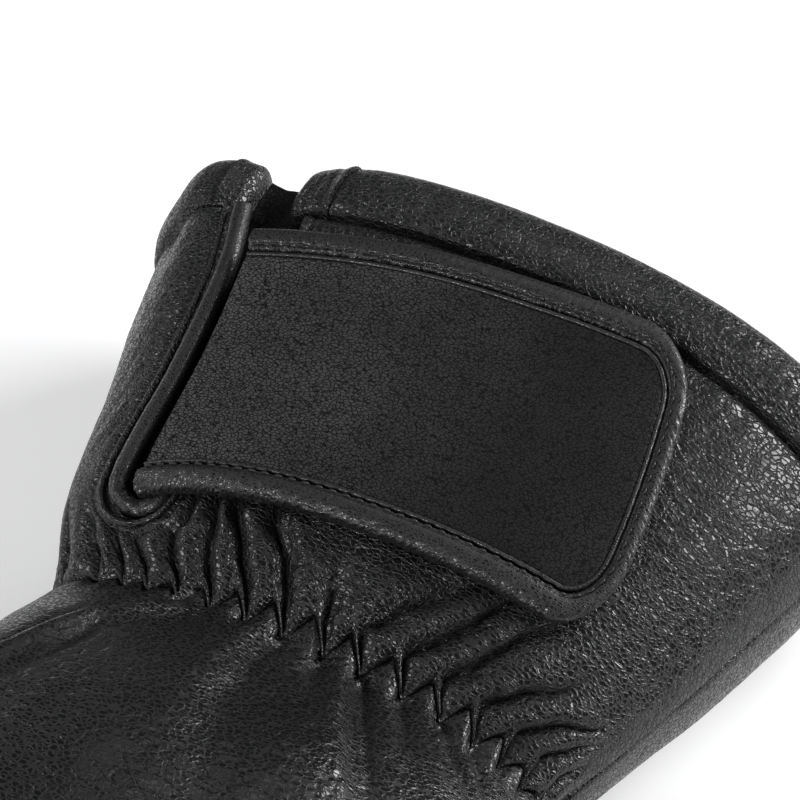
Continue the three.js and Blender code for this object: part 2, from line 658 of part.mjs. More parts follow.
addPiece('hand_back', handBack(), grainLeather);
addPiece('hand_palm', handPalm(), grainLeather);
addPiece('thumb', thumb(), grainLeather);
addPiece('cuff_back', cuffBack(), grainLeather);
addPiece('cuff_palm', cuffPalm(), grainLeather);
addPiece('rim_roll', rimRoll(), trimLeather);
addPiece('rim_end_left', rollPiece(leftEnd.from, leftEnd.to, 5, END_WRAP_THICKNESS), trimLeather);
addPiece('rim_end_right', rollPiece(rightEnd.from, rightEnd.to, 5, END_WRAP_THICKNESS), trimLeather);
addPiece('slit_piping', slitPiping(), trimLeather);
addPiece('slit_gusset', slitGusset(), grainLeather);
addPiece('strap_panel', strapPanel(), strapLeather);
addPiece('strap_binding', strapBinding(), trimLeather);

const part = new THREE.Group();
part.add(mitten);

export default part;
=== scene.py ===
import math

import bmesh
import bpy
import numpy as np
from mathutils import Matrix, Vector


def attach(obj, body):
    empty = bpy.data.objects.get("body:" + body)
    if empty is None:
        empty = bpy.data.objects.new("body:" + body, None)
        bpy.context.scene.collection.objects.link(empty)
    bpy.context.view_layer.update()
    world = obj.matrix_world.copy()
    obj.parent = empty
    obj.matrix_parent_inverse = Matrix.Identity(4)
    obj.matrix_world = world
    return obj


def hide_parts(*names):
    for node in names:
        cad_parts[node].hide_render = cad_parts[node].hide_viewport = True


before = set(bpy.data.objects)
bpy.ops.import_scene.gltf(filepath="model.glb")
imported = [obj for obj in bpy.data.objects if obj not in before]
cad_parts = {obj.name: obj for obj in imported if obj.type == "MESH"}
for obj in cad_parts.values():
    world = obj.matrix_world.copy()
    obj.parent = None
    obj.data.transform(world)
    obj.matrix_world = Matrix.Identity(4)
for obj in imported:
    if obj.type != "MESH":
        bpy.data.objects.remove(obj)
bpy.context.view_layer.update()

MM = 0.001

# Sizes shared with the solids
WRIST_AT = np.array([13.0, 57.0, 0.0])
HAND_WALL = 4.0
CUFF_WALL = 3.5
THUMB_WALL = 3.5
SEAM_GAP = 0.3
SEAM_ANGLE = 0.25
DOME_START = -115.0
DOME_LENGTH = 80.0
DOME_BLUNTNESS = 2.5
RIM_SEAM = 66.4
ROLL_LENGTH = 12.0
ROLL_THICKNESS = 6.8
ROLL_SET_IN = 1.2
ROLL_DROOP_REACH = 16.0
ROLL_END_ROUNDING = 2.0
ROLL_END_SHRINK = 0.4
RIM_GAP = 3.8
END_WRAP_WIDTH = 8.0
END_WRAP_THICKNESS = 0.4
PIPING_RADIUS = 1.8
PIPING_OUT = 0.6
PIPING_SUNK = -1.5
GUSSET_THICKNESS = 1.2
GUSSET_OVERLAP = 3.0
GUSSET_SAG = 1.6
GUSSET_TOP = 76.0
STRAP_LENGTH = 88.0
STRAP_WIDTH = 47.0
STRAP_CORNER = 12.0
STRAP_THICKNESS = 2.0
BINDING_WIDTH = 4.2
BINDING_THICKNESS = 3.3
ROUND_TOP = 2.25
ROUND_BOTTOM = 3.2
SWEEP_BACK = 3.0
SECTION_POWER = 0.8

# Cross-sections: y, left, right, height of the widest line, top, bottom, lead of the top
STATIONS = np.array([
    (-115, -58, 58, 19, 47, -1, 0),
    (-60, -61, 58, 21, 54, -1, 0),
    (-30, -54.5, 54, 22, 51, 0, 1),
    (-14, -50, 50, 22, 45.5, 1, 2),
    (0, -47.5, 46, 21, 38, 4, 3),
    (14, -54, 50.5, 22, 43, 3, 4),
    (32, -58, 57.5, 25, 49, 2, 6),
    (52, -63.5, 64, 27, 54, 2, 8),
    (74, -68, 69.5, 28, 56.5, 2, 8.5),
    (95, -66, 73, 28, 57.5, 2, 8.5),
], float)
FLAP = {"angle": 147, "rise": 2.9, "width": 11, "from": 30, "to": 62}

# Valleys of the gathers over the back, from the far side to the thumb side: the angle at each height
# over the wrist, how far the valley reaches up the cuff, and its depth
VALLEY_Y = [-1.4, 5, 9, 14, 21, 30]
BACK_VALLEYS = [
    (4, 4, 4, 4, 4, 4, 8, 0.5),
    (14, 15, 12, 9, 8, 8, 10, 1.1),
    (25, 27, 21, 14, 12, 12, 13, 1.4),
    (36, 38, 31, 20, 17, 17, 16, 1.8),
    (46, 50.5, 45, 37, 32, 30, 19, 1.9),
    (56.5, 61.5, 57.5, 53.5, 50, 48, 27, 2.1),
    (67, 71, 67, 63, 59, 57, 24, 2.1),
    (77, 81, 76.8, 71, 66, 65, 20, 2.1),
    (85, 88, 89, 89, 88, 86, 14, 1.9),
    (92, 94.5, 96.8, 100.8, 104, 103, 24, 2.0),
    (99.5, 102.5, 105.7, 109.5, 112, 111, 24, 2.0),
    (107.8, 111, 113, 115, 116, 117, 24, 1.9),
    (116, 119.7, 121.4, 123, 124, 125, 20, 1.9),
    (124.5, 129, 132, 132.8, 132, 132, 9, 1.1),
    (132.5, 136, 139, 141, 142, 142, 11, 1.5),
    (142, 145, 148, 150, 151, 151, 12, 1.5),
    (162, 163, 164, 165, 166, 166, 13, 1.2),
    (176, 176, 176, 176, 176, 176, 12, 0.6),
]
# Under the palm the valleys are even, from the last one of the back round to the first
PALM_PLEATS = 16
PALM_REACH_AND_DEPTH = (12, 1.1)
BACK_TURNS = len(BACK_VALLEYS) - 1
ALL_TURNS = BACK_TURNS + PALM_PLEATS
PALM_ANGLES = np.linspace(BACK_VALLEYS[-1][0], BACK_VALLEYS[0][0] + 360, PALM_PLEATS + 1)[1:]
VALLEYS = np.array(BACK_VALLEYS + [(at,) * 6 + PALM_REACH_AND_DEPTH for at in PALM_ANGLES], float)
REACH, DEPTH = 6, 7

# Folds of the hand: points of the crease as y and angle, its depth, its half-widths in degrees
# towards the thumb and away from it, and the height of the ridge on the thumb's side
HAND_FOLDS = [
    ([(0, 92), (-10, 91.5), (-21, 90.5), (-28, 88.5), (-36, 85.5), (-52, 80)], 1.9, 3.4, 9.0, 0.8),
    ([(0, 85), (-6, 84), (-15, 81)], 1.8, 2.6, 3.5, 0.3),
    ([(0, 77), (-11, 73), (-20, 67), (-32, 60)], 2.4, 3.0, 7.0, 0.6),
    ([(0, 76), (-9.5, 71), (-19, 65), (-27, 60)], 0.8, 1.1, 1.1, 0.0),
    ([(0, 67), (-9, 62), (-17, 57)], 1.6, 3.0, 4.0, 0.2),
    ([(0, 57), (-7, 48), (-11, 42), (-22, 31)], 2.3, 2.6, 5.0, 0.6),
    ([(0, 46), (-10, 36), (-17, 29)], 1.6, 3.0, 4.0, 0.4),
    ([(0, 112), (-22, 104)], 0.9, 5.0, 5.0, 0.0),
    ([(-6, 121), (-16, 120), (-34, 123)], 0.7, 1.6, 2.5, 0.2),
]
# Soft swellings of the hand: angle, y, radius in mm and height
HAND_PUFFS = [(75, -26, 9, 1.7), (102, -24, 13, 0.8), (48, -20, 8, 0.9)]
# Side seams of the hand: y, angle on the thumb side, angle on the far side
HAND_SEAMS = np.array([
    (-195, 180, 0), (-150, 166, 2), (-100, 150, 4), (-60, 146, 4), (-26, 133, 4), (-10, 122, 4),
    (0, 113, 4),
], float)
# Thumb: share of its length, x, y, z, half width, half height
THUMB = np.array([
    (0, -26, -36, 18, 24, 16), (0.4, -53, -64, 18, 24, 16), (0.75, -74, -96, 17, 22, 15.5),
    (1, -85, -125, 16, 19, 14.5),
], float)
THUMB_ROUNDING = 0.8
# Slit: y, angle of its middle, half the distance between the pipings
SLIT = np.array([(14.5, 132.8, 4.2), (32, 131, 3.8), (52, 129.2, 4), (72, 132.3, 5)], float)
SLIT_END = SLIT[0, 0]
SLIT_AT_RIM = SLIT[-1, 1]
# Strap: share of its length, then the angle and y of its lower and of its upper edge
STRAP_EDGES = np.array([
    (0, 131.2, 10.6, 128.6, 56.9), (0.5, 87, 15.3, 96, 61.8), (1, 43, 19, 64, 67),
], float)
STRAP_LIFT = {"middle": 0.9, "low": 2.2, "high": 1.1}

# Where the leather departs from the solids: the droop of the roll's ends, how much shorter each end
# is, how much wider the right wrap, how much later the strap starts at its lower and its upper edge,
# the rise of its corner by the slit, and the side of the cuff that lies lower near the rim
ROLL_DROOP = 3.3
LEFT_END_SHORTER = 2.8
RIGHT_END_SHORTER = 1.4
RIGHT_WRAP_WIDER = 0.9
STRAP_TUCK = (1.7, 3.7)
STRAP_CORNER_RISE = 1.2
SIDE_DIP = {"angle": 159, "width": 12, "depth": 0.9}


# Shapes shared with the solids
def smooth(table, at):
    """Columns of a table at a value of its first column, along a smooth curve through its rows."""
    keys, values = table[:, 0], table[:, 1:]
    at = np.clip(at, keys[0], keys[-1])
    i = np.clip(np.searchsorted(keys, at, side="right") - 1, 0, len(keys) - 2)
    step = np.diff(keys)
    slope = np.diff(values, axis=0) / step[:, None]
    before, after = step[:-1, None], step[1:, None]
    inside = (slope[:-1] * after + slope[1:] * before) / (before + after)
    tangent = np.concatenate([slope[:1], inside, slope[-1:]])
    t = ((at - keys[i]) / step[i])[..., None]
    width = step[i][..., None]
    start = (2 * t**3 - 3 * t**2 + 1) * values[i] + (t**3 - 2 * t**2 + t) * width * tangent[i]
    end = (3 * t**2 - 2 * t**3) * values[i + 1] + (t**3 - t**2) * width * tangent[i + 1]
    return np.moveaxis(start + end, -1, 0)


def signed_power(value, power):
    return np.sign(value) * np.abs(value) ** power


def smoothstep(value, low, high):
    t = np.clip((value - low) / (high - low), 0, 1)
    return t * t * (3 - 2 * t)


def unit(vector):
    return vector / np.maximum(np.linalg.norm(vector, axis=-1, keepdims=True), 1e-9)


def bell(distance, width):
    return np.exp(-(distance / width) ** 2)


def skin(angle, y, out=0.0):
    """Points of the mitten's skin, moved outwards by a distance; flat where it meets the surface."""
    angle, y, out = np.broadcast_arrays(*[np.asarray(v, float) for v in (angle, y, out)])
    lowest = -np.minimum(out, 0)
    flap = FLAP["rise"] * bell(angle - FLAP["angle"], FLAP["width"])
    out = out + flap * smoothstep(y, FLAP["from"], FLAP["to"])
    past = np.maximum(0, DOME_START - y) / DOME_LENGTH
    shrink = np.maximum(0, 1 - past**DOME_BLUNTNESS) ** (1 / DOME_BLUNTNESS)
    left, right, side, top, bottom, crown = smooth(STATIONS, y)
    across, upright = np.cos(np.radians(angle)), np.sin(np.radians(angle))
    fullness = np.where(upright >= 0, 2 / ROUND_TOP, 2 / ROUND_BOTTOM)
    half_width = ((right - left) / 2 + out) * shrink
    height = np.where(upright >= 0, top - side, side - bottom) + out
    lead = crown * np.maximum(0, upright) ** 1.5 - SWEEP_BACK
    y_in_layout = np.where(y >= DOME_START, y, DOME_START - past * (DOME_LENGTH + out))
    z = side + height * shrink * signed_power(upright, fullness)
    return np.stack([
        (left + right) / 2 + half_width * signed_power(across, fullness),
        y_in_layout + lead,
        np.maximum(z, lowest),
    ], -1)


def skin_frame(angle, y, out=0.0):
    """Outwards, towards the rim and sideways to growing angles, and the millimetres in a degree."""
    step = 0.5
    around = skin(angle + step, y, out) - skin(angle - step, y, out)
    forward = unit(skin(angle, y + step, out) - skin(angle, y - step, out))
    outwards = unit(np.cross(forward, around))
    return outwards, forward, np.cross(outwards, forward), np.linalg.norm(around, axis=-1)


# Seeded noise
NOISE_SEED = 11
NOISE_SIZE = 256
NOISE_GAIN = 1.6
NOISE = np.random.default_rng(NOISE_SEED)
MIXED = NOISE.permutation(NOISE_SIZE)
LEANS = unit(NOISE.normal(size=(NOISE_SIZE, 3)))


def noise(x, y, z=0.0):
    """Smooth noise between about -1 and 1 at places one unit apart."""
    place = np.stack(np.broadcast_arrays(*[np.asarray(v, float) for v in (x, y, z)]), -1)
    cell = np.floor(place).astype(int)
    inside = place - cell
    share = inside**3 * (inside * (inside * 6 - 15) + 10)
    total = np.zeros(place.shape[:-1])
    for corner in np.ndindex(2, 2, 2):
        near = cell + corner
        mixed = MIXED[near[..., 0] % NOISE_SIZE]
        mixed = MIXED[(mixed + near[..., 1]) % NOISE_SIZE]
        mixed = MIXED[(mixed + near[..., 2]) % NOISE_SIZE]
        weight = np.prod(np.where(corner, share, 1 - share), axis=-1)
        total += weight * np.sum(LEANS[mixed] * (inside - corner), axis=-1)
    return total * NOISE_GAIN


def creases(x, y, z=0.0):
    """Narrow valleys between broad crests, from 0 in a valley to about 1."""
    return np.abs(noise(x, y, z)) ** 0.7


def crumple(x, y, z=0.0):
    """Facets between valley lines that cross, from 0 in a valley to about 1 on the facets."""
    return np.minimum(1, 1.6 * np.minimum(creases(x, y, z), creases(x + 7.3, y + 2.1, z + 5)))


# Meshes
WELD_DISTANCE = 2e-6
SHARP_ANGLE = math.radians(70)
INNER_STEP = 4
EVERY_INNER = (slice(None, None, INNER_STEP),) * 2


class Surface:
    """Collects grids of points and the faces on them, and makes one object of them."""

    def __init__(self):
        self.points = []
        self.faces = []
        self.looks = []
        self.count = 0

    def grid(self, points):
        ids = self.count + np.arange(points[..., 0].size).reshape(points.shape[:-1])
        self.points.append(points.reshape(-1, 3))
        self.count += ids.size
        return ids

    def add(self, faces, look=0):
        self.faces.append(faces)
        self.looks.append(np.full(len(faces), look))

    def cover(self, ids, look=0):
        quads = np.stack([ids[:-1, :-1], ids[1:, :-1], ids[1:, 1:], ids[:-1, 1:]], -1)
        self.add(quads.reshape(-1, 4), look)

    def ring_cover(self, ids, look=0):
        self.cover(np.concatenate([ids, ids[:, :1]], axis=1), look)

    def strip(self, fine, coarse):
        """Joins two edges, of which the first has a whole multiple of the second's steps."""
        share = (len(fine) - 1) // (len(coarse) - 1)
        half = share // 2
        for j in range(len(coarse) - 1):
            run = fine[j * share:(j + 1) * share + 1]
            near = [(coarse[j], run[m], run[m + 1], run[m + 1]) for m in range(half)]
            far = [(coarse[j + 1], run[m], run[m + 1], run[m + 1]) for m in range(half, share)]
            across = [(coarse[j], run[half], coarse[j + 1], coarse[j + 1])]
            self.add(np.array(near + across + far))

    def bar(self, rings):
        """Adds a bar from its rings of points, closed at both ends."""
        ids = self.grid(rings)
        self.ring_cover(ids)
        for end in (0, -1):
            ring, middle = ids[end], self.grid(rings[end].mean(0).reshape(1, 3))[0]
            middles = np.full_like(ring, middle)
            self.add(np.stack([ring, np.roll(ring, -1), middles, middles], -1))
        return self

    def make(self, name, looks):
        points = (np.concatenate(self.points) + WRIST_AT) * MM
        faces = np.concatenate(self.faces)
        slots = np.concatenate(self.looks)
        mesh = bpy.data.meshes.new(name)
        lists = [face[:3] if face[3] == face[2] else face for face in faces.tolist()]
        mesh.from_pydata(points.tolist(), [], lists)
        mesh.polygons.foreach_set("material_index", slots.astype(np.int32))
        for look in looks:
            mesh.materials.append(look)
        tidy = bmesh.new()
        tidy.from_mesh(mesh)
        bmesh.ops.remove_doubles(tidy, verts=tidy.verts, dist=WELD_DISTANCE)
        bmesh.ops.recalc_face_normals(tidy, faces=tidy.faces)
        tidy.to_mesh(mesh)
        tidy.free()
        mesh.polygons.foreach_set("use_smooth", np.ones(len(mesh.polygons), bool))
        mesh.set_sharp_from_angle(angle=SHARP_ANGLE)
        made = bpy.data.objects.new(name, mesh)
        bpy.context.scene.collection.objects.link(made)
        return made


def panel(outer, inner):
    """A closed wall: a fine outer grid, and an inner grid that has every fourth of its points."""
    surface = Surface()
    out, within = surface.grid(outer), surface.grid(inner)
    surface.cover(out)
    surface.cover(within, 1)
    for border in ((0,), (-1,), (slice(None), 0), (slice(None), -1)):
        surface.strip(out[border], within[border])
    return surface


def crossed(first, second):
    return np.meshgrid(first, second, indexing="ij")


def full_turn(sides):
    return np.linspace(0, 2 * np.pi, sides + 1)[:-1]


def stretches(*stops):
    """Numbers from stop to stop, each stretch in its own number of even steps: (from, steps, to, ...)."""
    values = [np.array([stops[0]], float)]
    for count, end in zip(stops[1::2], stops[2::2]):
        start = values[-1][-1]
        values.append(np.linspace(start, end, count + 1)[1:])
    return np.concatenate(values)


def wall(angle, y, height, thickness, raised=0.0):
    """Outer and inner grid of a padded wall: its outer face at a height over the mitten's skin."""
    upwards = np.array([0, 0, raised])
    inner = skin(angle[EVERY_INNER], y[EVERY_INNER], -thickness)
    return skin(angle, y, height) + upwards, inner + upwards


# Gathers at the wrist: by pleat, how far the wrist seam climbs from its pit to its corner
SEAM_TEETH = np.array([
    (0, 0.8), (2, 4), (3, 6), (4, 6.4), (6, 6.4), (8, 7), (9, 6.4), (10, 6), (11, 4), (12, 2.8), (13, 2),
    (16, 1), (34, 0.8),
], float)
PIT_Y = VALLEY_Y[0]
# Millimetres in a degree round the wrist and on the hand beside it
WRIST_DEGREE = 0.95
HAND_DEGREE = 0.93


def turn_value(turn, column):
    return np.interp(turn, np.arange(ALL_TURNS + 1), VALLEYS[:, column])


def pleat_angle(turn, y):
    row = np.clip(np.floor(turn).astype(int), 0, ALL_TURNS - 1)
    share = turn - row
    at = [VALLEYS[row, k] + (VALLEYS[row + 1, k] - VALLEYS[row, k]) * share for k in range(len(VALLEY_Y))]
    angle = at[0]
    for k in range(1, len(VALLEY_Y)):
        angle = angle + (at[k] - at[k - 1]) * soft_share(y, VALLEY_Y[k - 1], VALLEY_Y[k])
    return angle


def soft_share(value, low, high):
    """From 0 to 1 between two values, along a line whose ends are rounded off."""
    t = np.clip((value - low) / (high - low), 0, 1)
    return 0.5 * t + 0.5 * t * t * (3 - 2 * t)


def wrist_turn(angle):
    return np.interp(angle, VALLEYS[:, 0], np.arange(ALL_TURNS + 1))


def seam_y(turn):
    """The wrist seam: at each valley a pit, beside it a corner, from which it falls to the next pit."""
    part = turn - np.floor(turn)
    tooth = np.interp(turn, SEAM_TEETH[:, 0], SEAM_TEETH[:, 1])
    corner_at, bulge = 0.26, 0.35
    fall = (1 - part) * (1 + bulge * part)
    return PIT_Y + tooth * fall * smoothstep(part, 0, corner_at)


def gather_fade(turn, y, beside):
    """How much of its depth a gather still has at a height, by the reach of the valleys beside it."""
    starts, ends, valley_width = 0.4, 1.15, 0.25
    nearest = np.clip(np.round(turn), 0, ALL_TURNS)
    in_valley = 1 - smoothstep(y / turn_value(nearest, REACH), starts, ends)
    between = 1 - smoothstep(y / turn_value(turn, REACH), starts, ends)
    return between + (in_valley - between) * bell(beside, valley_width)


# Crumpled spots between the gathers: the turn and y of each, and its half-widths
CRUMPLED_SPOTS = [(8.55, 11, 0.75, 6), (15.0, 1, 1.2, 5)]


def gathers(turn, y, from_seam):
    """Height of the cuff's gathers, with the creases across them."""
    wander = 0.12 * noise(turn * 0.7, y / 7, 3.3) * smoothstep(from_seam, 2, 9)
    moved = np.clip(turn + wander, 0, ALL_TURNS - 1e-6)
    part = moved - np.floor(moved)
    pitch = (turn_value(np.floor(moved) + 1, 0) - turn_value(np.floor(moved), 0)) * WRIST_DEGREE
    distance = np.minimum(part, 1 - part) * pitch
    wave = 1.4 * np.abs(np.sin(np.pi * part**0.9)) ** 0.7 - 0.95
    fade = gather_fade(moved, y, distance / pitch)
    height = turn_value(moved, DEPTH) * fade * wave * (0.5 + 0.5 * smoothstep(from_seam, 0, 6))
    valley_line = 0.45 * bell(distance, 0.35)
    broken = smoothstep(noise(moved * 2, y / 3, 8), -0.1, 0.4)
    second_line = 0.4 * bell(distance - 1.1, 0.28) * broken
    height -= fade * valley_line
    height -= fade * second_line
    flank = bell(distance - 1.2, 1.3)
    tip = bell(from_seam - 1.5, 4.5) * smoothstep(part, 0.35, 0.8)
    along = from_seam + 1.6 * part + 0.7 * noise(moved * 3, y / 3, 5)
    across = creases(moved * 1.6, along * 0.9, 1.7) - 0.45
    rough = smoothstep(noise(moved * 0.8, y / 7, 7.7), -0.3, 0.3)
    height += 0.5 * across * fade * np.minimum(1, 0.12 + 0.6 * flank * rough + 0.9 * tip)
    spots = sum(bell(turn - at, wide) * bell(y - at_y, high) for at, at_y, wide, high in CRUMPLED_SPOTS)
    facets = crumple(moved * 2.6, along * 0.42, 5.7) - 0.6
    return height + 0.55 * facets * np.minimum(1, spots + 0.35 * flank * fade * rough)


def from_edge(height, distance, level, width):
    """Lets a height sink to a level at a sewn edge, within about a width."""
    return level + (height - level) * (1 - np.exp(-distance / width))


def padding(angle, y, amount):
    """Soft unevenness of padded leather."""
    broad = noise(angle / 22, y / 20, 0.4)
    return amount * (broad + 0.3 * noise(angle / 7, y / 7, 6.1))


# Cuff
SLIT_ROW = 28
SLIT_STRETCH = np.linalg.norm(skin(SLIT[0, 1], SLIT_END) - skin(SLIT[0, 1], SLIT_END - 1))
SLIT_BOTTOM = SLIT_END - (SLIT[0, 2] + PIPING_RADIUS + SEAM_GAP) / SLIT_STRETCH
SLIT_BOTTOM_FROM_SEAM = SLIT_BOTTOM + 0.5
CUFF_ROWS = stretches(SEAM_GAP / 2, SLIT_ROW, SLIT_BOTTOM_FROM_SEAM, 44, 25, 96, RIM_SEAM - SEAM_GAP)
# The pleat on which the slit stands, and the steps in a pleat over the back and under the palm
SLIT_TURN = 13
BACK_STEPS = 24
PALM_STEPS = 16


def cuff_grid(turns, rows):
    turn, from_seam = crossed(turns, rows)
    teeth_reach = 22
    fade = np.maximum(0, 1 - from_seam / teeth_reach) ** 2
    return turn, from_seam, from_seam + seam_y(turn) * fade


def cuff_height(turn, angle, y, from_seam):
    """The gathers, soft padding, puckers at the rim, creases on both sides, and the sewn edges."""
    height = gathers(turn, y, from_seam) + padding(angle, y, 0.35) * smoothstep(y, 4, 16)
    to_rim = RIM_SEAM - y
    puckers = 0.18 * noise(angle / 3.2, y / 9, 2.2) * bell(to_rim, 6)
    slanted = noise((y + (angle - 150) * 0.8) / 2.4, angle / 16, 8.2) * bell(angle - 155, 14)
    pulled = creases((y + (angle - 60) * 0.25) / 3.2, angle / 16, 3.2) - 0.5
    height += 0.2 * slanted * smoothstep(y, 14, 26) + 0.1 * pulled * smoothstep(y, 16, 30)
    height -= SIDE_DIP["depth"] * smoothstep(y, 45, 62) * bell(angle - SIDE_DIP["angle"], SIDE_DIP["width"])
    flush = smoothstep(angle, 133, 142) * (1 - smoothstep(angle, 170, 180))
    height = from_edge(height + puckers, to_rim, -1.4 + 0.3 * flush, 1.3 - 0.7 * flush)
    return from_edge(height, from_seam, -1.3, 0.7)


def slit_open(y):
    """Half the slit's opening in the leather, with its round end."""
    half = smooth(SLIT, np.maximum(y, SLIT_END))[1] + PIPING_RADIUS + SEAM_GAP
    below = np.clip((SLIT_END - y) * SLIT_STRETCH, 0, half)
    return np.where(y >= SLIT_END, half, np.sqrt(np.maximum(0, half**2 - below**2)))


def cuff_back():
    surface = Surface()
    joined = None
    coarse_row = SLIT_ROW // INNER_STEP
    for start, end, side in ((0, SLIT_TURN, -1), (SLIT_TURN, BACK_TURNS, 1)):
        outer, inner = cuff_back_side(stretches(start, BACK_STEPS * (end - start), end), side)
        out, within = surface.grid(outer), surface.grid(inner)
        if side == 1:
            out[0, :SLIT_ROW + 1] = joined[0][:SLIT_ROW + 1]
            within[0, :coarse_row + 1] = joined[1][:coarse_row + 1]
        joined = (out[-1], within[-1])
        surface.cover(out)
        surface.cover(within, 1)
        slit_side, border = (-1, 0) if side == -1 else (0, -1)
        surface.strip(out[border], within[border])
        surface.strip(out[slit_side][SLIT_ROW:], within[slit_side][coarse_row:])
        surface.strip(out[:, 0], within[:, 0])
        surface.strip(out[:, -1], within[:, -1])
    return surface


def cuff_back_side(turns, side):
    turn, from_seam, y = cuff_grid(turns, CUFF_ROWS)
    angle = pleat_angle(turn, y)
    bend = smooth(SLIT, y)[0] - pleat_angle(np.full_like(turn, SLIT_TURN), y)
    bend_reach, opening_reach = 5, 3.2
    beside = np.cos(np.pi / 2 * np.clip((turn - SLIT_TURN) / bend_reach, -1, 1)) ** 2
    angle = angle + bend * smoothstep(y, 2, SLIT_BOTTOM - 0.5) * beside
    opening = slit_open(y) / skin_frame(angle, y)[3]
    near = np.maximum(0, 1 - np.abs(turn - SLIT_TURN) / opening_reach) ** 1.6
    angle = angle + side * opening * near
    height = cuff_height(turn, angle, y, from_seam)
    far_away = 20
    to_slit = np.where(y > 0, slit_distance(angle, y), far_away)
    height = from_edge(height, np.maximum(to_slit, 0), -0.6, 0.7)
    shown = smoothstep(turn, SLIT_TURN - 1.2, SLIT_TURN - 0.4)
    ridge, groove = 0.3 * bell(to_slit - 1.4, 0.6), 0.35 * bell(to_slit - 2.5, 0.4)
    return wall(angle, y, height + (ridge - groove) * shown, CUFF_WALL, SEAM_GAP)


def slit_distance(angle, y):
    """Distance from the edge of the slit's opening, along the leather."""
    middle, half = smooth(SLIT, np.maximum(y, SLIT_END))
    across = (angle - middle) * skin_frame(angle, y)[3]
    below = np.maximum(0, SLIT_END - y) * SLIT_STRETCH
    return np.hypot(across, below) - (half + PIPING_RADIUS + SEAM_GAP)


def cuff_palm():
    turns = stretches(BACK_TURNS, PALM_STEPS * PALM_PLEATS, ALL_TURNS)
    turn, from_seam, y = cuff_grid(turns, stretches(SEAM_GAP / 2, 40, 14, 56, RIM_SEAM - SEAM_GAP))
    angle = pleat_angle(turn, y)
    height = cuff_height(turn, angle, y, from_seam)
    pleat_width = 11
    side = np.minimum(turn - BACK_TURNS, ALL_TURNS - turn) * pleat_width
    return panel(*wall(angle, y, from_edge(height, side, -0.9, 0.9), CUFF_WALL))


# Hand
def hand_pits(angle, y):
    """Puckers of the hand below each pit of the wrist seam."""
    height = np.zeros_like(angle)
    for i in range(1, BACK_TURNS):
        across = (angle - VALLEYS[i, 0]) * HAND_DEGREE
        down = PIT_Y - y
        radius = np.hypot(across, down)
        turned = np.arctan2(across, down)
        strength = 0.45 + 0.55 * bell(i - 7.5, 5)
        height -= 1.3 * strength * bell(radius, 2.2)
        rays = creases(turned * 3.4 + i * 3.1, radius * 0.16, i) - 0.45
        height += 1.15 * strength * rays * np.exp(-radius / 3.4) * smoothstep(radius, 0.4, 2.2)
    return height


def hand_folds(angle, y):
    """Each fold is a hollow with a thin crease in it and a ruffled ridge beside it."""
    height = np.zeros_like(angle)
    for points, depth, thumb_width, far_width, ridge in HAND_FOLDS:
        path_y, path_angle = np.array(points, float).T
        middle = np.interp(-y, -path_y, path_angle) + 1.1 * noise(y / 6, path_angle[0], 2.0)
        along = np.clip((path_y[0] - y) / (path_y[0] - path_y[-1]), 0, 1)
        fade = (1 - along) ** 0.8 * (0.4 + 0.6 * smoothstep(path_y[0] - y, -2, 4))
        offset = angle - middle
        hollow = np.where(offset > 0, bell(offset, thumb_width), bell(offset, far_width))
        height -= depth * fade * hollow
        height -= 0.3 * fade * bell(offset, 0.9) * smoothstep(noise(y / 4, path_angle[0], 7), -0.4, 0.4)
        beside = bell(offset - 1.6 * thumb_width, 1.2 * thumb_width)
        height += ridge * fade * beside
        ruffle = crumple(offset * 0.22 + path_angle[0], (y - offset * 0.35) * 0.5, path_angle[0]) - 0.6
        height += (0.1 + 0.5 * ridge) * ruffle * fade**0.5 * beside
    return height


def on_puff(angle, y, puff):
    """From 1 in the middle of a puff to 0 well outside it."""
    at_angle, at_y, radius, _ = puff
    return bell(np.hypot((angle - at_angle) * HAND_DEGREE, y - at_y), radius)


def hand_height(angle, y, from_seam):
    turn = wrist_turn(angle)
    puffs = sum(puff[3] * on_puff(angle, y, puff) for puff in HAND_PUFFS)
    height = hand_folds(angle, y) + hand_pits(angle, y) + puffs
    height += padding(angle, y, 0.5) * smoothstep(from_seam, 3, 20)
    fine = creases(turn * 2.4, y * 0.8, 9.1) - 0.5
    height += 0.16 * fine * bell(from_seam, 7)
    ruffled = crumple(angle / 3.0, y / 2.4, 3.1) - 0.6
    in_patches = smoothstep(noise(angle / 9, y / 8, 5.5), 0.0, 0.5)
    height += 0.42 * ruffled * np.minimum(1, on_puff(angle, y, HAND_PUFFS[0]) + 0.25 * in_patches)
    return from_edge(height, from_seam, -1.4, 1.2)


HAND_ROWS = np.concatenate([
    stretches(SEAM_GAP / 2, 56, 18, 60, 40, 16, 56, 32, -DOME_START),
    -DOME_START + DOME_LENGTH * np.sin(np.linspace(0, np.pi / 2, 33)[1:]),
])
HAND_COLUMNS = 288


def hand_grid(starts, ends):
    """Angle, y and distance from the wrist seam on a grid between two seams of the hand."""
    along, from_seam = crossed(stretches(0, HAND_COLUMNS, 1), HAND_ROWS)
    at_wrist = starts(0.0) + (ends(0.0) - starts(0.0)) * along
    teeth_reach = 16
    fade = np.maximum(0, 1 - from_seam / teeth_reach) ** 2
    turn = wrist_turn(at_wrist)
    at_seam = seam_y(turn)
    y = -from_seam + at_seam * fade
    start, end = starts(y), ends(y)
    aside = (pleat_angle(turn, at_seam) - turn_value(turn, 0)) * fade
    return start + (end - start) * along + aside, y, from_seam


def thumb_side(y):
    return smooth(HAND_SEAMS, np.minimum(y, 0))[0]


def far_side(y):
    return smooth(HAND_SEAMS, np.minimum(y, 0))[1]


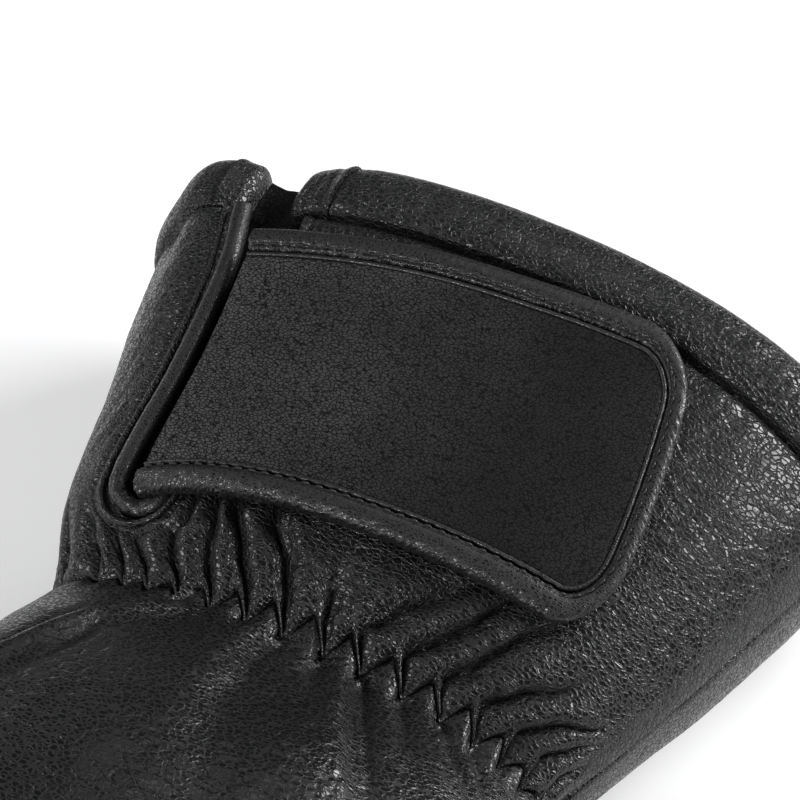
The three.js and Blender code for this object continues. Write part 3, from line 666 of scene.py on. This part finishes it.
# Beside the thumb-side seam the back rises in a lip and the palm sinks below it: how far, at what
# distance, over what width, then the level of the sewn edge and the width of its fall
BACK_LIP = (2.0, 2, 3, -0.3, 0.45)
PALM_LIP = (-2.0, 1, 3.5, -1.9, 0.7)


def hand_panel(first, last, thumb_is_last, lip, raised=0.0):
    """A panel of the hand between two side seams, the thumb's side last or first."""
    angle, y, from_seam = hand_grid(lambda y: first(y) + SEAM_ANGLE, lambda y: last(y) - SEAM_ANGLE)
    degree = skin_frame(angle, y)[3]
    to_far_side, to_thumb_side = (angle - first(y)) * degree, (last(y) - angle) * degree
    if not thumb_is_last:
        to_far_side, to_thumb_side = to_thumb_side, to_far_side
    rise, away, width, level, fall = lip
    height = hand_height(angle, y, from_seam)
    height += rise * bell(to_thumb_side - away, width) * smoothstep(-y, 0, 8)
    height = from_edge(height, to_thumb_side, level, fall)
    height = from_edge(height, to_far_side, -0.8, 0.8)
    return panel(*wall(angle, y, height, HAND_WALL, raised))


def hand_back():
    return hand_panel(far_side, thumb_side, True, BACK_LIP, SEAM_GAP)


def hand_palm():
    return hand_panel(thumb_side, lambda y: far_side(y) + 360, False, PALM_LIP)


# Thumb: the sides of its section, how deep its root stands in the hand, and how far its tip moves
# along x and y for each millimetre that its skin moves out
THUMB_SIDES = 96
THUMB_SUNK = 0.4
THUMB_TIP = np.array([0.35, -0.94]) * np.hypot(11, 29) / 31


def inside_hand(point):
    """About how deep a point lies in the hand, in millimetres."""
    half_size = 35
    past = np.maximum(0, DOME_START - point[..., 1] - SWEEP_BACK) / DOME_LENGTH
    shrink = np.maximum(1e-3, 1 - past**DOME_BLUNTNESS) ** (1 / DOME_BLUNTNESS)
    left, right, side, top, bottom, _ = smooth(STATIONS, point[..., 1] + SWEEP_BACK)
    upper = point[..., 2] >= side
    across = np.abs(point[..., 0] - (left + right) / 2) / ((right - left) / 2 * shrink)
    over = np.abs(point[..., 2] - side) / (np.where(upper, top - side, side - bottom) * shrink)
    power = np.where(upper, ROUND_TOP, ROUND_BOTTOM)
    ratio = (across**power + over**power) ** (1 / power)
    return (1 - ratio) * half_size


def thumb_surface(along, turned, out):
    x, y, z, wide, high = smooth(THUMB, along)
    past = np.maximum(0, along - THUMB_ROUNDING) / (1 - THUMB_ROUNDING)
    shrink = np.sqrt(np.maximum(0, 1 - past * past))
    step = 0.02
    ahead, behind = smooth(THUMB, along + step), smooth(THUMB, along - step)
    run_x, run_y = ahead[0] - behind[0], ahead[1] - behind[1]
    length = np.hypot(run_x, run_y)
    across = (wide + out) * shrink * np.cos(turned)
    return np.stack([
        x - run_y / length * across + out * past * THUMB_TIP[0],
        y + run_x / length * across + out * past * THUMB_TIP[1],
        z + (high + out) * shrink * np.sin(turned),
    ], -1)


def thumb():
    turned, share = crossed(full_turn(THUMB_SIDES), stretches(0, 120, 1))
    low, high = np.zeros(THUMB_SIDES), np.full(THUMB_SIDES, THUMB_ROUNDING)
    for _ in range(30):
        middle = (low + high) / 2
        deep = inside_hand(thumb_surface(middle, turned[:, 0], 0)) > -THUMB_SUNK
        low, high = np.where(deep, middle, low), np.where(deep, high, middle)
    start = high[:, None]
    along = start + (1 - start) * np.sin(share * np.pi / 2) ** 0.8
    thumb_length = 100
    clear = (along - start) * thumb_length
    height = 0.5 * noise(np.cos(turned) * 2, along * 6, np.sin(turned) * 2) * smoothstep(clear, 2, 12)
    height = from_edge(height, clear, -1.2, 1.6)
    outer = thumb_surface(along, turned, height)
    inner = thumb_surface(along[:, ::INNER_STEP], turned[:, ::INNER_STEP], -THUMB_WALL)
    surface = Surface()
    out, within = surface.grid(outer), surface.grid(inner)
    surface.ring_cover(out.T)
    surface.ring_cover(within.T, 1)
    closed = np.append(out[:, 0], out[0, 0]), np.append(within[:, 0], within[0, 0])
    surface.strip(*closed)
    return surface


# Rim roll
ROLL_MIDDLE = RIM_SEAM + ROLL_LENGTH / 2


def rim_degrees(distance):
    return distance / np.linalg.norm(skin(SLIT_AT_RIM + 1, ROLL_MIDDLE) - skin(SLIT_AT_RIM, ROLL_MIDDLE))


LEFT_WRAP_ANGLE = rim_degrees(END_WRAP_WIDTH - LEFT_END_SHORTER)
RIGHT_WRAP_ANGLE = rim_degrees(END_WRAP_WIDTH + RIGHT_WRAP_WIDER)
GAP_ANGLE = rim_degrees(SEAM_GAP)
LEFT_END = SLIT_AT_RIM + rim_degrees(RIM_GAP / 2 + LEFT_END_SHORTER)
RIGHT_END = SLIT_AT_RIM - rim_degrees(RIM_GAP / 2 + RIGHT_END_SHORTER)
LEFT_INNER = LEFT_END + LEFT_WRAP_ANGLE
RIGHT_INNER = RIGHT_END - RIGHT_WRAP_ANGLE
ROLL_SIDES = 48


def section(turned):
    """Shares across and upright of a section a little squarer than a circle."""
    return signed_power(np.cos(turned), SECTION_POWER), signed_power(np.sin(turned), SECTION_POWER)


def roll_piece(start, end, count, thicker, detail):
    """A length of the rim's roll between two angles; its ends by the slit sink and narrow."""
    angle, turned = crossed(stretches(start, count, end), full_turn(ROLL_SIDES))
    away = [np.abs((angle - at + 540) % 360 - 180) for at in (LEFT_END, RIGHT_END)]
    to_end = np.minimum(*away) / rim_degrees(1.0)
    sunk = ROLL_SET_IN + ROLL_DROOP * np.maximum(0, 1 - to_end / ROLL_DROOP_REACH) ** 2
    size = 1 - ROLL_END_SHRINK * np.maximum(0, 1 - to_end / ROLL_END_ROUNDING) ** 2
    bulge = detail(angle, turned)
    across, upright = section(turned)
    overhang = 0.5 * smoothstep(-np.cos(turned), 0.1, 0.8) * smoothstep(np.sin(turned), 0.2, 0.6)
    along = (ROLL_LENGTH / 2 + bulge * 0.4) * size * across - overhang
    out = (ROLL_THICKNESS / 2 + thicker + bulge) * size * upright - sunk
    outwards = skin_frame(angle, ROLL_MIDDLE)[0]
    rings = skin(angle, ROLL_MIDDLE + along) + outwards * out[..., None]
    rings[..., 2] = np.maximum(rings[..., 2], 0)
    return Surface().bar(rings)


def roll_detail(angle, turned):
    upright = np.abs(np.sin(turned))
    soft = 0.14 * noise(angle / 12, np.cos(turned) * 0.7, 1.5)
    bent = angle + 1.3 * noise(angle / 9, np.cos(turned) * 1.1, 9.5)
    pressed = np.minimum(creases(bent / 3.4, 0.15 * np.cos(turned), 12.5), 0.45) - 0.45
    close = creases(bent / 1.1, np.cos(turned) * 0.7, 4.5) - 0.5
    near_slit = bell((angle % 360 - 112) / 9, 1) * smoothstep(-np.cos(turned), -0.1, 0.7)
    facets = crumple(angle / 2.2, turned * 1.3, 4.5) - 0.6
    return soft + (0.34 * pressed + 0.04 * close + 0.3 * near_slit * facets) * upright


def wrap_detail(inner_edge):
    def detail(angle, turned):
        past_edge = (angle - inner_edge) / rim_degrees(1.0)
        band = 0.5 * bell(past_edge, 1.0) - 0.3 * bell(past_edge - 2, 0.8)
        soft = 0.1 * noise(angle / 2.5, np.cos(turned) * 1.5, 2.0)
        facets = crumple(angle / 2.0, turned * 1.4, 2.0) - 0.6
        return band + soft + 0.3 * facets * (np.cos(turned) < 0.3)
    return detail


def rim_roll():
    return roll_piece(LEFT_INNER + GAP_ANGLE, RIGHT_INNER - GAP_ANGLE + 360, 900, 0, roll_detail)


def rim_end(start, end, inner_edge):
    """The leather wrapped round an end of the roll."""
    return roll_piece(start, end, 60, END_WRAP_THICKNESS, wrap_detail(inner_edge))


# Piping of the slit, and the ridge of turned-in leather beside it; their last points lie under the strap
SLIT_SIDE_STEPS = 110
SLIT_BEND_STEPS = 40
PIPING_HIDDEN = 8
RIDGE_HIDDEN = 92
RIDGE_AWAY = PIPING_RADIUS + SEAM_GAP + 1.35
RIDGE_RADIUS = 0.6
RIDGE_RISE = 0.15


def slit_path(extra, out_at):
    """Down one side of the slit, round its end and up the other, at a distance from its middle line."""
    side_y = stretches(SLIT_END + 2, SLIT_SIDE_STEPS, RIM_SEAM - 1)[::-1]
    side = np.zeros(SLIT_SIDE_STEPS + 1)
    part = np.concatenate([side, stretches(0, SLIT_BEND_STEPS, 1), side + 1])
    y = np.concatenate([side_y, np.full(SLIT_BEND_STEPS + 1, SLIT_END), side_y[::-1]])
    turned = part * np.pi
    middle, half = smooth(SLIT, y)
    outwards, forward, sideways, _ = skin_frame(middle, y)
    reach = (half + extra)[:, None]
    return (skin(middle, y) + sideways * reach * np.cos(turned)[:, None]
            - forward * reach * np.sin(turned)[:, None] + outwards * out_at(part)[:, None])


def run_length(path):
    """Distance along a path at each of its points."""
    return np.concatenate([[0], np.cumsum(np.linalg.norm(np.diff(path, axis=0), axis=1))])


def places(at, length, path):
    """The points at some distances along a path, by the distance along it at each of its own."""
    return np.stack([np.interp(at, length, path[:, k]) for k in range(3)], -1)


def tube(path, radius, sides, detail):
    run = unit(np.gradient(path, axis=0))
    across = unit(np.cross(run, [0, 0, 1.0]))
    over = np.cross(across, run)
    far, turned = crossed(run_length(path), full_turn(sides))
    wide = radius + detail(far, turned)
    return (path[:, None] + across[:, None] * (wide * np.cos(turned))[..., None]
            + over[:, None] * (wide * np.sin(turned))[..., None])


def resample(path, spacing=0.3):
    length = run_length(path)
    return places(stretches(0, int(length[-1] / spacing), length[-1]), length, path)


def uneven(amount, length):
    """Detail of a thin bar whose thickness wavers by an amount, over about a length."""
    return lambda far, turned: amount * noise(far / length, turned, 2.0)


def slit_piping():
    def out_at(part):
        return PIPING_OUT + (PIPING_SUNK - PIPING_OUT) * smoothstep(part, 0, 0.6)

    def detail(far, turned):
        wrinkle = creases(far / 1.1, turned * 1.3, 3.0) - 0.5
        at_end = bell(far - far.max() / 2, 6)
        facets = crumple(far / 2.0, turned * 1.2, 6.0) - 0.6
        return 0.1 * wrinkle + 0.08 * noise(far / 6, turned, 0) + 0.4 * at_end * facets

    path = resample(slit_path(0, out_at)[:-PIPING_HIDDEN])
    return Surface().bar(tube(path, PIPING_RADIUS - 0.03, 36, detail))


def slit_ridge():
    path = slit_path(RIDGE_AWAY, lambda part: np.full_like(part, RIDGE_RISE))
    path = resample(path[:-RIDGE_HIDDEN])
    return Surface().bar(tube(path, RIDGE_RADIUS, 12, uneven(0.08, 2.2)))


# Leather behind the slit
def slit_gusset():
    """Leather behind the slit's whole width, narrowed above the seam to the gap of the roll's ends."""
    across, y = crossed(stretches(-1, 40, 1), stretches(SLIT_END - 5, 200, GUSSET_TOP))
    middle, half = smooth(SLIT, y)
    narrowed = smoothstep(y, RIM_SEAM - 1.0, RIM_SEAM + 0.8)
    middle = middle + ((LEFT_END + RIGHT_END) / 2 - rim_degrees(0.6) - middle) * narrowed
    wide = half + PIPING_RADIUS + GUSSET_OVERLAP
    between_ends = RIM_GAP / 2 + 2.2
    reach = wide + (between_ends - wide) * narrowed
    angle = middle + across * reach / skin_frame(middle, y)[3]
    outwards = skin_frame(angle, y)[0]
    depth = CUFF_WALL + SEAM_GAP + GUSSET_SAG * (1 - across**2)
    soft = 0.3 * noise(across * 2, y / 6, 4.0) * smoothstep(1 - np.abs(across), 0, 0.3)
    outer = skin(angle, y) - outwards * (depth - soft)[..., None]
    inner = skin(angle, y) - outwards * (depth + GUSSET_THICKNESS)[..., None]
    return panel(outer, inner[EVERY_INNER])


# Strap
def strap_point(along, across, height):
    """Places at a distance along the strap, across it from its middle line, and over its underside."""
    upwards = across / STRAP_WIDTH + 0.5
    high = np.clip(upwards, 0, 1)
    tuck = STRAP_TUCK[0] + (STRAP_TUCK[1] - STRAP_TUCK[0]) * upwards
    part = (along + tuck * (1 - along / STRAP_LENGTH)) / STRAP_LENGTH
    low_angle, low_y, high_angle, high_y = smooth(STRAP_EDGES, part)
    low_rise = STRAP_LIFT["low"] * (1 - upwards) ** 2 * np.sin(np.pi * np.clip(part, 0, 1) ** 0.8)
    high_rise = STRAP_LIFT["high"] * high**3
    high_rise += STRAP_CORNER_RISE * np.maximum(0, 1 - 3 * part) ** 2 * high**2
    lift = STRAP_LIFT["middle"] + low_rise + high_rise
    angle = low_angle + (high_angle - low_angle) * upwards
    y = low_y + (high_y - low_y) * upwards
    return skin(angle, y, lift + height)


def strap_panel():
    inset = BINDING_WIDTH + SEAM_GAP
    half = STRAP_WIDTH / 2 - inset
    radius = STRAP_CORNER - inset
    across = half * np.sin(stretches(-np.pi / 2, 160, np.pi / 2))
    into_corner = np.maximum(0, np.abs(across) - (half - radius))
    reach = STRAP_LENGTH - inset - radius + np.sqrt(np.maximum(0, radius**2 - into_corner**2))
    part, side = crossed(stretches(0, 288, 1) ** 0.85, across)
    along = part * reach[None]
    to_edge = np.minimum(half - np.abs(side), reach[None] - along)
    height = STRAP_THICKNESS + 0.25 * noise(along / 26, side / 18, 1.0)
    height = from_edge(height, np.maximum(to_edge, 0), STRAP_THICKNESS - 1.1, 0.35)
    outer = strap_point(along, side, height)
    inner = strap_point(along[EVERY_INNER], side[EVERY_INNER], 0)
    return panel(outer, inner)


def strap_edge(inset, spacing=0.3):
    """Places at an inset from the strap's edge: along, across, and the direction out of the strap."""
    half = STRAP_WIDTH / 2 - inset
    radius = STRAP_CORNER - inset
    straight = STRAP_LENGTH - inset - radius
    shift = half - radius
    sides = np.linspace(0, straight, int(straight / spacing))
    ends = np.linspace(-shift, shift, int(2 * shift / spacing))
    corner = np.linspace(0, np.pi / 2, 40)[1:-1]
    side, end, bend = np.ones_like(sides), np.ones_like(ends), np.ones_like(corner)
    along = np.concatenate([sides, straight * bend, straight * end, straight * bend, sides[::-1]])
    middle = np.concatenate([-shift * side, -shift * bend, ends, shift * bend, shift * side])
    quarter = np.pi / 2
    turned = np.concatenate([-quarter * side, corner - quarter, 0 * end, corner, quarter * side])
    out_along, out_across = np.cos(turned), np.sin(turned)
    return along + radius * out_along, middle + radius * out_across, out_along, out_across


# Where the binding is sewn, as an angle round its section
STITCHED_AT = 2.36
BINDING_SIDES = 60


def strap_binding():
    """Smooth on its inner half and crinkled outside, with a groove where it is sewn."""
    along, across, out_along, out_across = strap_edge(BINDING_WIDTH / 2, 0.2)
    centre = strap_point(along, across, 1.4)
    far, turned = crossed(run_length(centre), full_turn(BINDING_SIDES))
    outer_side = (0.8 * out_along - out_across)[:, None] * np.cos(turned)
    slanted = creases((far + 1.8 * np.cos(turned)) / 0.7, turned * 1.1, 4.2) - 0.5
    crinkled = 0.08 + 0.36 * smoothstep(outer_side, -0.2, 0.5)
    swell = crinkled * slanted + 0.08 * noise(far / 9, turned * 0.5, 1.0)
    swell -= 0.3 * bell(turned - STITCHED_AT, 0.2)
    sideways, upright = section(turned)
    outwards = (BINDING_WIDTH / 2 + swell - 0.05) * sideways
    rise = (BINDING_THICKNESS / 2 + swell) * upright
    middle = BINDING_THICKNESS / 2 - 0.2
    rings = strap_point(along[:, None] + outwards * out_along[:, None],
                        across[:, None] + outwards * out_across[:, None], middle + rise)
    return Surface().bar(rings)


# The thin bead between the strap's panel and its binding
BEAD_INSET = BINDING_WIDTH + SEAM_GAP / 2 + 0.45
BEAD_HEIGHT = STRAP_THICKNESS - 0.1
BEAD_RADIUS = 0.42


def strap_bead():
    along, across, _, _ = strap_edge(BEAD_INSET)
    path = strap_point(along, across, BEAD_HEIGHT)
    return Surface().bar(tube(path, BEAD_RADIUS, 12, uneven(0.06, 1.2)))


# Stitches of the strap
STITCH_INSET = BINDING_WIDTH - 0.6
STITCH_HEIGHT = STRAP_THICKNESS + 0.75
STITCH_PITCH = 2.4
STITCH_LENGTH = 1.3
STITCH_RADIUS = 0.26
STITCH_BOW = 0.2


def thread_detail(far, turned):
    """A thread is thinner at both ends."""
    return -STITCH_RADIUS * 0.5 * (1 - np.sin(np.pi * far / far.max()))


def strap_stitches():
    """Short threads along the binding, each a small rounded bar whose ends dip into the leather."""
    along, across, _, _ = strap_edge(STITCH_INSET)
    path = strap_point(along, across, STITCH_HEIGHT)
    outwards = unit(strap_point(along, across, STITCH_HEIGHT + 1) - path)
    surface = Surface()
    length = run_length(path)
    share = np.linspace(0, 1, 7)
    for start in np.arange(STITCH_PITCH / 2, length[-1] - STITCH_PITCH, STITCH_PITCH):
        at = start + STITCH_LENGTH * share
        bow = STITCH_BOW * np.sin(np.pi * share)[:, None]
        centre = places(at, length, path) + places(at, length, outwards) * bow
        surface.bar(tube(centre, STITCH_RADIUS, 8, thread_detail))
    return surface


# Leathers
def shader_of(name):
    material = bpy.data.materials.new(name)
    material.use_nodes = True
    tree = material.node_tree
    return material, tree, tree.nodes["Principled BSDF"]


def set_inputs(node, inputs):
    for socket, value in inputs:
        node.inputs[socket].default_value = value


def add_node(tree, kind, links=(), inputs=(), **settings):
    """A node with its inputs linked or set, by name or place, and its settings."""
    made = tree.nodes.new(kind)
    for key, value in settings.items():
        setattr(made, key, value)
    set_inputs(made, inputs)
    for socket, source in links:
        tree.links.new(source, made.inputs[socket])
    return made


def object_place(tree):
    return add_node(tree, "ShaderNodeTexCoord").outputs["Object"]


def map_range(tree, source, low, high, to_low, to_high, kind="LINEAR"):
    ends = [("From Min", low), ("From Max", high), ("To Min", to_low), ("To Max", to_high)]
    made = add_node(tree, "ShaderNodeMapRange", [("Value", source)], ends, interpolation_type=kind)
    return made.outputs["Result"]


def calculate(tree, operation, *values):
    made = add_node(tree, "ShaderNodeMath", operation=operation)
    for socket, value in zip(made.inputs, values):
        if isinstance(value, (int, float)):
            socket.default_value = value
        else:
            tree.links.new(value, socket)
    return made.outputs["Value"]


def noise_texture(tree, place, scale, detail=2):
    inputs = [("Scale", scale), ("Detail", detail)]
    return add_node(tree, "ShaderNodeTexNoise", [("Vector", place)], inputs).outputs


def stretched(tree, place, factors):
    made = add_node(tree, "ShaderNodeVectorMath", [(0, place)], [(1, factors)], operation="MULTIPLY")
    return made.outputs["Vector"]


def cell_edges(tree, place, scale, width):
    """Cells of a net: 0 on the lines between them, rising to 1 within a width."""
    cells = add_node(tree, "ShaderNodeTexVoronoi", [("Vector", place)], [("Scale", scale)],
                     feature="DISTANCE_TO_EDGE")
    return map_range(tree, cells.outputs["Distance"], 0.0, width, 0, 1, "SMOOTHSTEP")


def mixed_colour(tree, factor, first, second):
    inputs = [("A", (*first, 1)), ("B", (*second, 1))]
    made = add_node(tree, "ShaderNodeMix", [("Factor", factor)], inputs, data_type="RGBA")
    return [socket for socket in made.outputs if socket.type == "RGBA"][0]


def finish(tree, shader, colour, height, depth):
    """Gives a shader its colour and a bump of a depth in mm."""
    inputs = [("Strength", 1), ("Distance", depth * MM)]
    bump = add_node(tree, "ShaderNodeBump", [("Height", height)], inputs)
    tree.links.new(colour, shader.inputs["Base Color"])
    tree.links.new(bump.outputs["Normal"], shader.inputs["Normal"])


# How much closer the cells of the grain and of the net of wrinkles stand along X, Y and Z, the width of
# the net's lines, and the painted shade colour and the added roughness in creases
GRAIN_STRETCH = (0.65, 1.2, 0.8)
NET_STRETCH = (0.16, 0.4, 0.34)
NET_LINE = 0.1
CREASE_SHADE_COLOUR = (0.001, 0.001, 0.001)
CREASE_ROUGHER = 0.45


def leather(name, colour, rough, cell, depth, specular, calm=("Y", 0, 1, 1), wrinkles=0.0, crease=0.3):
    """
    Leather with a grain of cells of a size and depth in mm, and thin creases between them coloured dark as
    painted shade. Along the calm axis its strength grows from a share at the first place to full at the
    second.
    """
    material, tree, shader = shader_of(name)
    place = add_node(tree, "ShaderNodeVectorMath", [(0, object_place(tree))], [("Scale", 1 / MM)],
                     operation="SCALE").outputs["Vector"]
    drift = noise_texture(tree, place, 1.1 / cell, 1)["Color"]
    moved = add_node(tree, "ShaderNodeVectorMath", [(0, drift), (2, place)], [(1, (0.55 * cell,) * 3)],
                     operation="MULTIPLY_ADD").outputs["Vector"]
    raised = cell_edges(tree, stretched(tree, moved, GRAIN_STRETCH), 1 / cell, crease)
    net = cell_edges(tree, stretched(tree, moved, NET_STRETCH), 1, NET_LINE)
    fine = noise_texture(tree, place, 1.7, 3)["Fac"]
    broad = noise_texture(tree, place, 0.07, 3)["Fac"]
    axis, calm_at, full_at, share = calm
    along = add_node(tree, "ShaderNodeSeparateXYZ", [(0, place)]).outputs[axis]
    strength = calculate(tree, "MULTIPLY", map_range(tree, broad, 0.35, 0.65, 0.6, 1.0),
                         map_range(tree, along, calm_at, full_at, share, 1.0))
    grain = calculate(tree, "MULTIPLY", raised, strength)
    height = calculate(tree, "MULTIPLY_ADD", fine, 0.05,
                       calculate(tree, "MULTIPLY_ADD", net, wrinkles, grain))
    # The colour falls to the painted crease shade in the creases, and further wherever the grain is weaker
    finish(tree, shader, mixed_colour(tree, grain, CREASE_SHADE_COLOUR, colour), height, depth)
    worn = calculate(tree, "ADD", map_range(tree, broad, 0.3, 0.7, rough + 0.05, rough - 0.05),
                     map_range(tree, raised, 0, 1, CREASE_ROUGHER, 0.0))
    tree.links.new(worn, shader.inputs["Roughness"])
    shader.inputs["Specular IOR Level"].default_value = specular
    return material


def thread():
    material, tree, shader = shader_of("stitch_thread")
    strands = noise_texture(tree, object_place(tree), 4000)["Fac"]
    colour = mixed_colour(tree, strands, (0.006, 0.006, 0.006), (0.02, 0.02, 0.02))
    finish(tree, shader, colour, strands, 0.06)
    shader.inputs["Roughness"].default_value = 0.45
    return material


grain_leather = leather(
    "grain_leather", (0.01, 0.0105, 0.0115), rough=0.24, cell=0.82, depth=0.15, specular=0.65,
    calm=("Y", 56, 104, 0.35), wrinkles=0.5, crease=0.18)
strap_leather = leather(
    "strap_leather", (0.1, 0.101, 0.1), rough=0.5, cell=0.56, depth=0.16, specular=0.2,
    calm=("X", 30, -35, 0.15), crease=0.2)
trim_leather = leather(
    "trim_leather", (0.007, 0.0073, 0.008), rough=0.22, cell=0.5, depth=0.02, specular=0.8)
# Leather behind the slit: darker and duller than the outer leather, as painted shade of the deep gap
shaded_inner_leather = leather(
    "shaded_inner_leather", (0.003, 0.003, 0.003), rough=0.6, cell=0.6, depth=0.05, specular=0.2)
backing = leather(
    "leather_backing", (0.012, 0.012, 0.012), rough=0.85, cell=0.4, depth=0.05, specular=0.2)


# Pieces: each stands for the solid of its name, except for the ridge, the bead and the stitches
def place(name, surface, looks, slot, replaced=None, padded=False):
    made = surface.make(name, looks)
    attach(made, "root")
    if replaced:
        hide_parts(replaced)


def place_leather(node, surface, looks, slot, padded=False):
    place(f"{node}_leather", surface, looks, slot, node, padded)


padded_looks = [grain_leather, backing]
for node, build in (("hand_back", hand_back), ("hand_palm", hand_palm), ("thumb", thumb),
                    ("cuff_back", cuff_back), ("cuff_palm", cuff_palm)):
    place_leather(node, build(), padded_looks, "hand_leather", True)
place_leather("rim_roll", rim_roll(), [grain_leather], "trim_leather", True)
for node, start, end, inner_edge in (("rim_end_left", LEFT_END, LEFT_INNER, LEFT_INNER),
                                     ("rim_end_right", RIGHT_INNER, RIGHT_END, RIGHT_INNER)):
    place_leather(node, rim_end(start, end, inner_edge), [grain_leather], "trim_leather")
place_leather("slit_piping", slit_piping(), [trim_leather], "trim_leather")
place("slit_ridge_leather", slit_ridge(), [grain_leather], "hand_leather")
# The gusset's darker leather is painted shade of the deep slit
place_leather("slit_gusset", slit_gusset(), [shaded_inner_leather, backing], "hand_leather")
place_leather("strap_panel", strap_panel(), [strap_leather, backing], "strap_leather")
place_leather("strap_binding", strap_binding(), [trim_leather], "trim_leather")
place("strap_bead_leather", strap_bead(), [trim_leather], "trim_leather")
place("strap_stitches", strap_stitches(), [thread()], "trim_leather")


# Floor, light and camera
FLOOR_HALF = 2500
FLOOR_BELOW = 0.05


def floor():
    surface = Surface()
    across = stretches(-FLOOR_HALF, 20, FLOOR_HALF)
    x, y = crossed(across, across)
    surface.cover(surface.grid(np.stack([x, y, np.full_like(x, -FLOOR_BELOW)], -1)))
    material, tree, shader = shader_of("pale_floor")
    cloud = noise_texture(tree, object_place(tree), 3)["Fac"]
    tone = mixed_colour(tree, cloud, (0.82, 0.82, 0.83), (0.84, 0.84, 0.85))
    tree.links.new(tone, shader.inputs["Base Color"])
    glow = [("Emission Color", (1, 1, 1, 1)), ("Emission Strength", 0.3)]
    set_inputs(shader, [("Roughness", 0.9), *glow])
    surface.make("floor", [material])


LOOK_AT = np.array([-0.4, 113.4, 30.1])
CAMERA_AZIMUTH = math.radians(29)
CAMERA_ELEVATION = math.radians(50)
CAMERA_DISTANCE = 520.0
CAMERA_LENS = 135
CAMERA_SENSOR = 36
# Soft lights: azimuth, elevation, width and height in metres, power in watts
LIGHTS = {
    "light_right": (131, 34, (0.75, 0.5), 14.5),
    "light_left": (-73, 31, (0.4, 0.4), 2.6),
    "light_front": (-5, 30, (0.5, 0.45), 5.6),
    "light_back": (200, 62, (0.5, 0.5), 0.8),
}
LIGHT_DISTANCE = 1.1
LIGHTS_AIM = (0, 0.11, 0.03)


def direction(azimuth, elevation):
    """Unit vector towards a place at an azimuth, 0 being -Y and 90 being +X, and an elevation."""
    return np.array([
        math.sin(azimuth) * math.cos(elevation),
        -math.cos(azimuth) * math.cos(elevation),
        math.sin(elevation),
    ])


def camera():
    back = direction(CAMERA_AZIMUTH, CAMERA_ELEVATION)
    right = np.array([math.cos(CAMERA_AZIMUTH), math.sin(CAMERA_AZIMUTH), 0])
    up = np.cross(back, right)
    data = bpy.data.cameras.new("camera")
    data.lens = CAMERA_LENS
    data.sensor_width = CAMERA_SENSOR
    data.clip_start = 0.01
    made = bpy.data.objects.new("camera", data)
    turn = Matrix([right, up, back]).transposed().to_4x4()
    made.matrix_world = Matrix.Translation((LOOK_AT + back * CAMERA_DISTANCE) * MM) @ turn
    bpy.context.scene.collection.objects.link(made)
    bpy.context.scene.camera = made


def softbox(name, azimuth, elevation, size, power):
    data = bpy.data.lights.new(name, "AREA")
    data.shape = "RECTANGLE"
    data.size, data.size_y = size
    data.energy = power
    made = bpy.data.objects.new(name, data)
    towards = Vector(direction(math.radians(azimuth), math.radians(elevation)))
    made.location = Vector(LIGHTS_AIM) + towards * LIGHT_DISTANCE
    made.rotation_euler = towards.to_track_quat("Z", "Y").to_euler()
    bpy.context.scene.collection.objects.link(made)


def studio():
    world = bpy.data.worlds.new("studio")
    world.use_nodes = True
    background = world.node_tree.nodes["Background"]
    set_inputs(background, [("Color", (0.93, 0.96, 1.0, 1)), ("Strength", 0.08)])
    bpy.context.scene.world = world
    for name, settings in LIGHTS.items():
        softbox(name, *settings)


floor()
camera()
studio()
bpy.context.scene.view_settings.view_transform = "Standard"
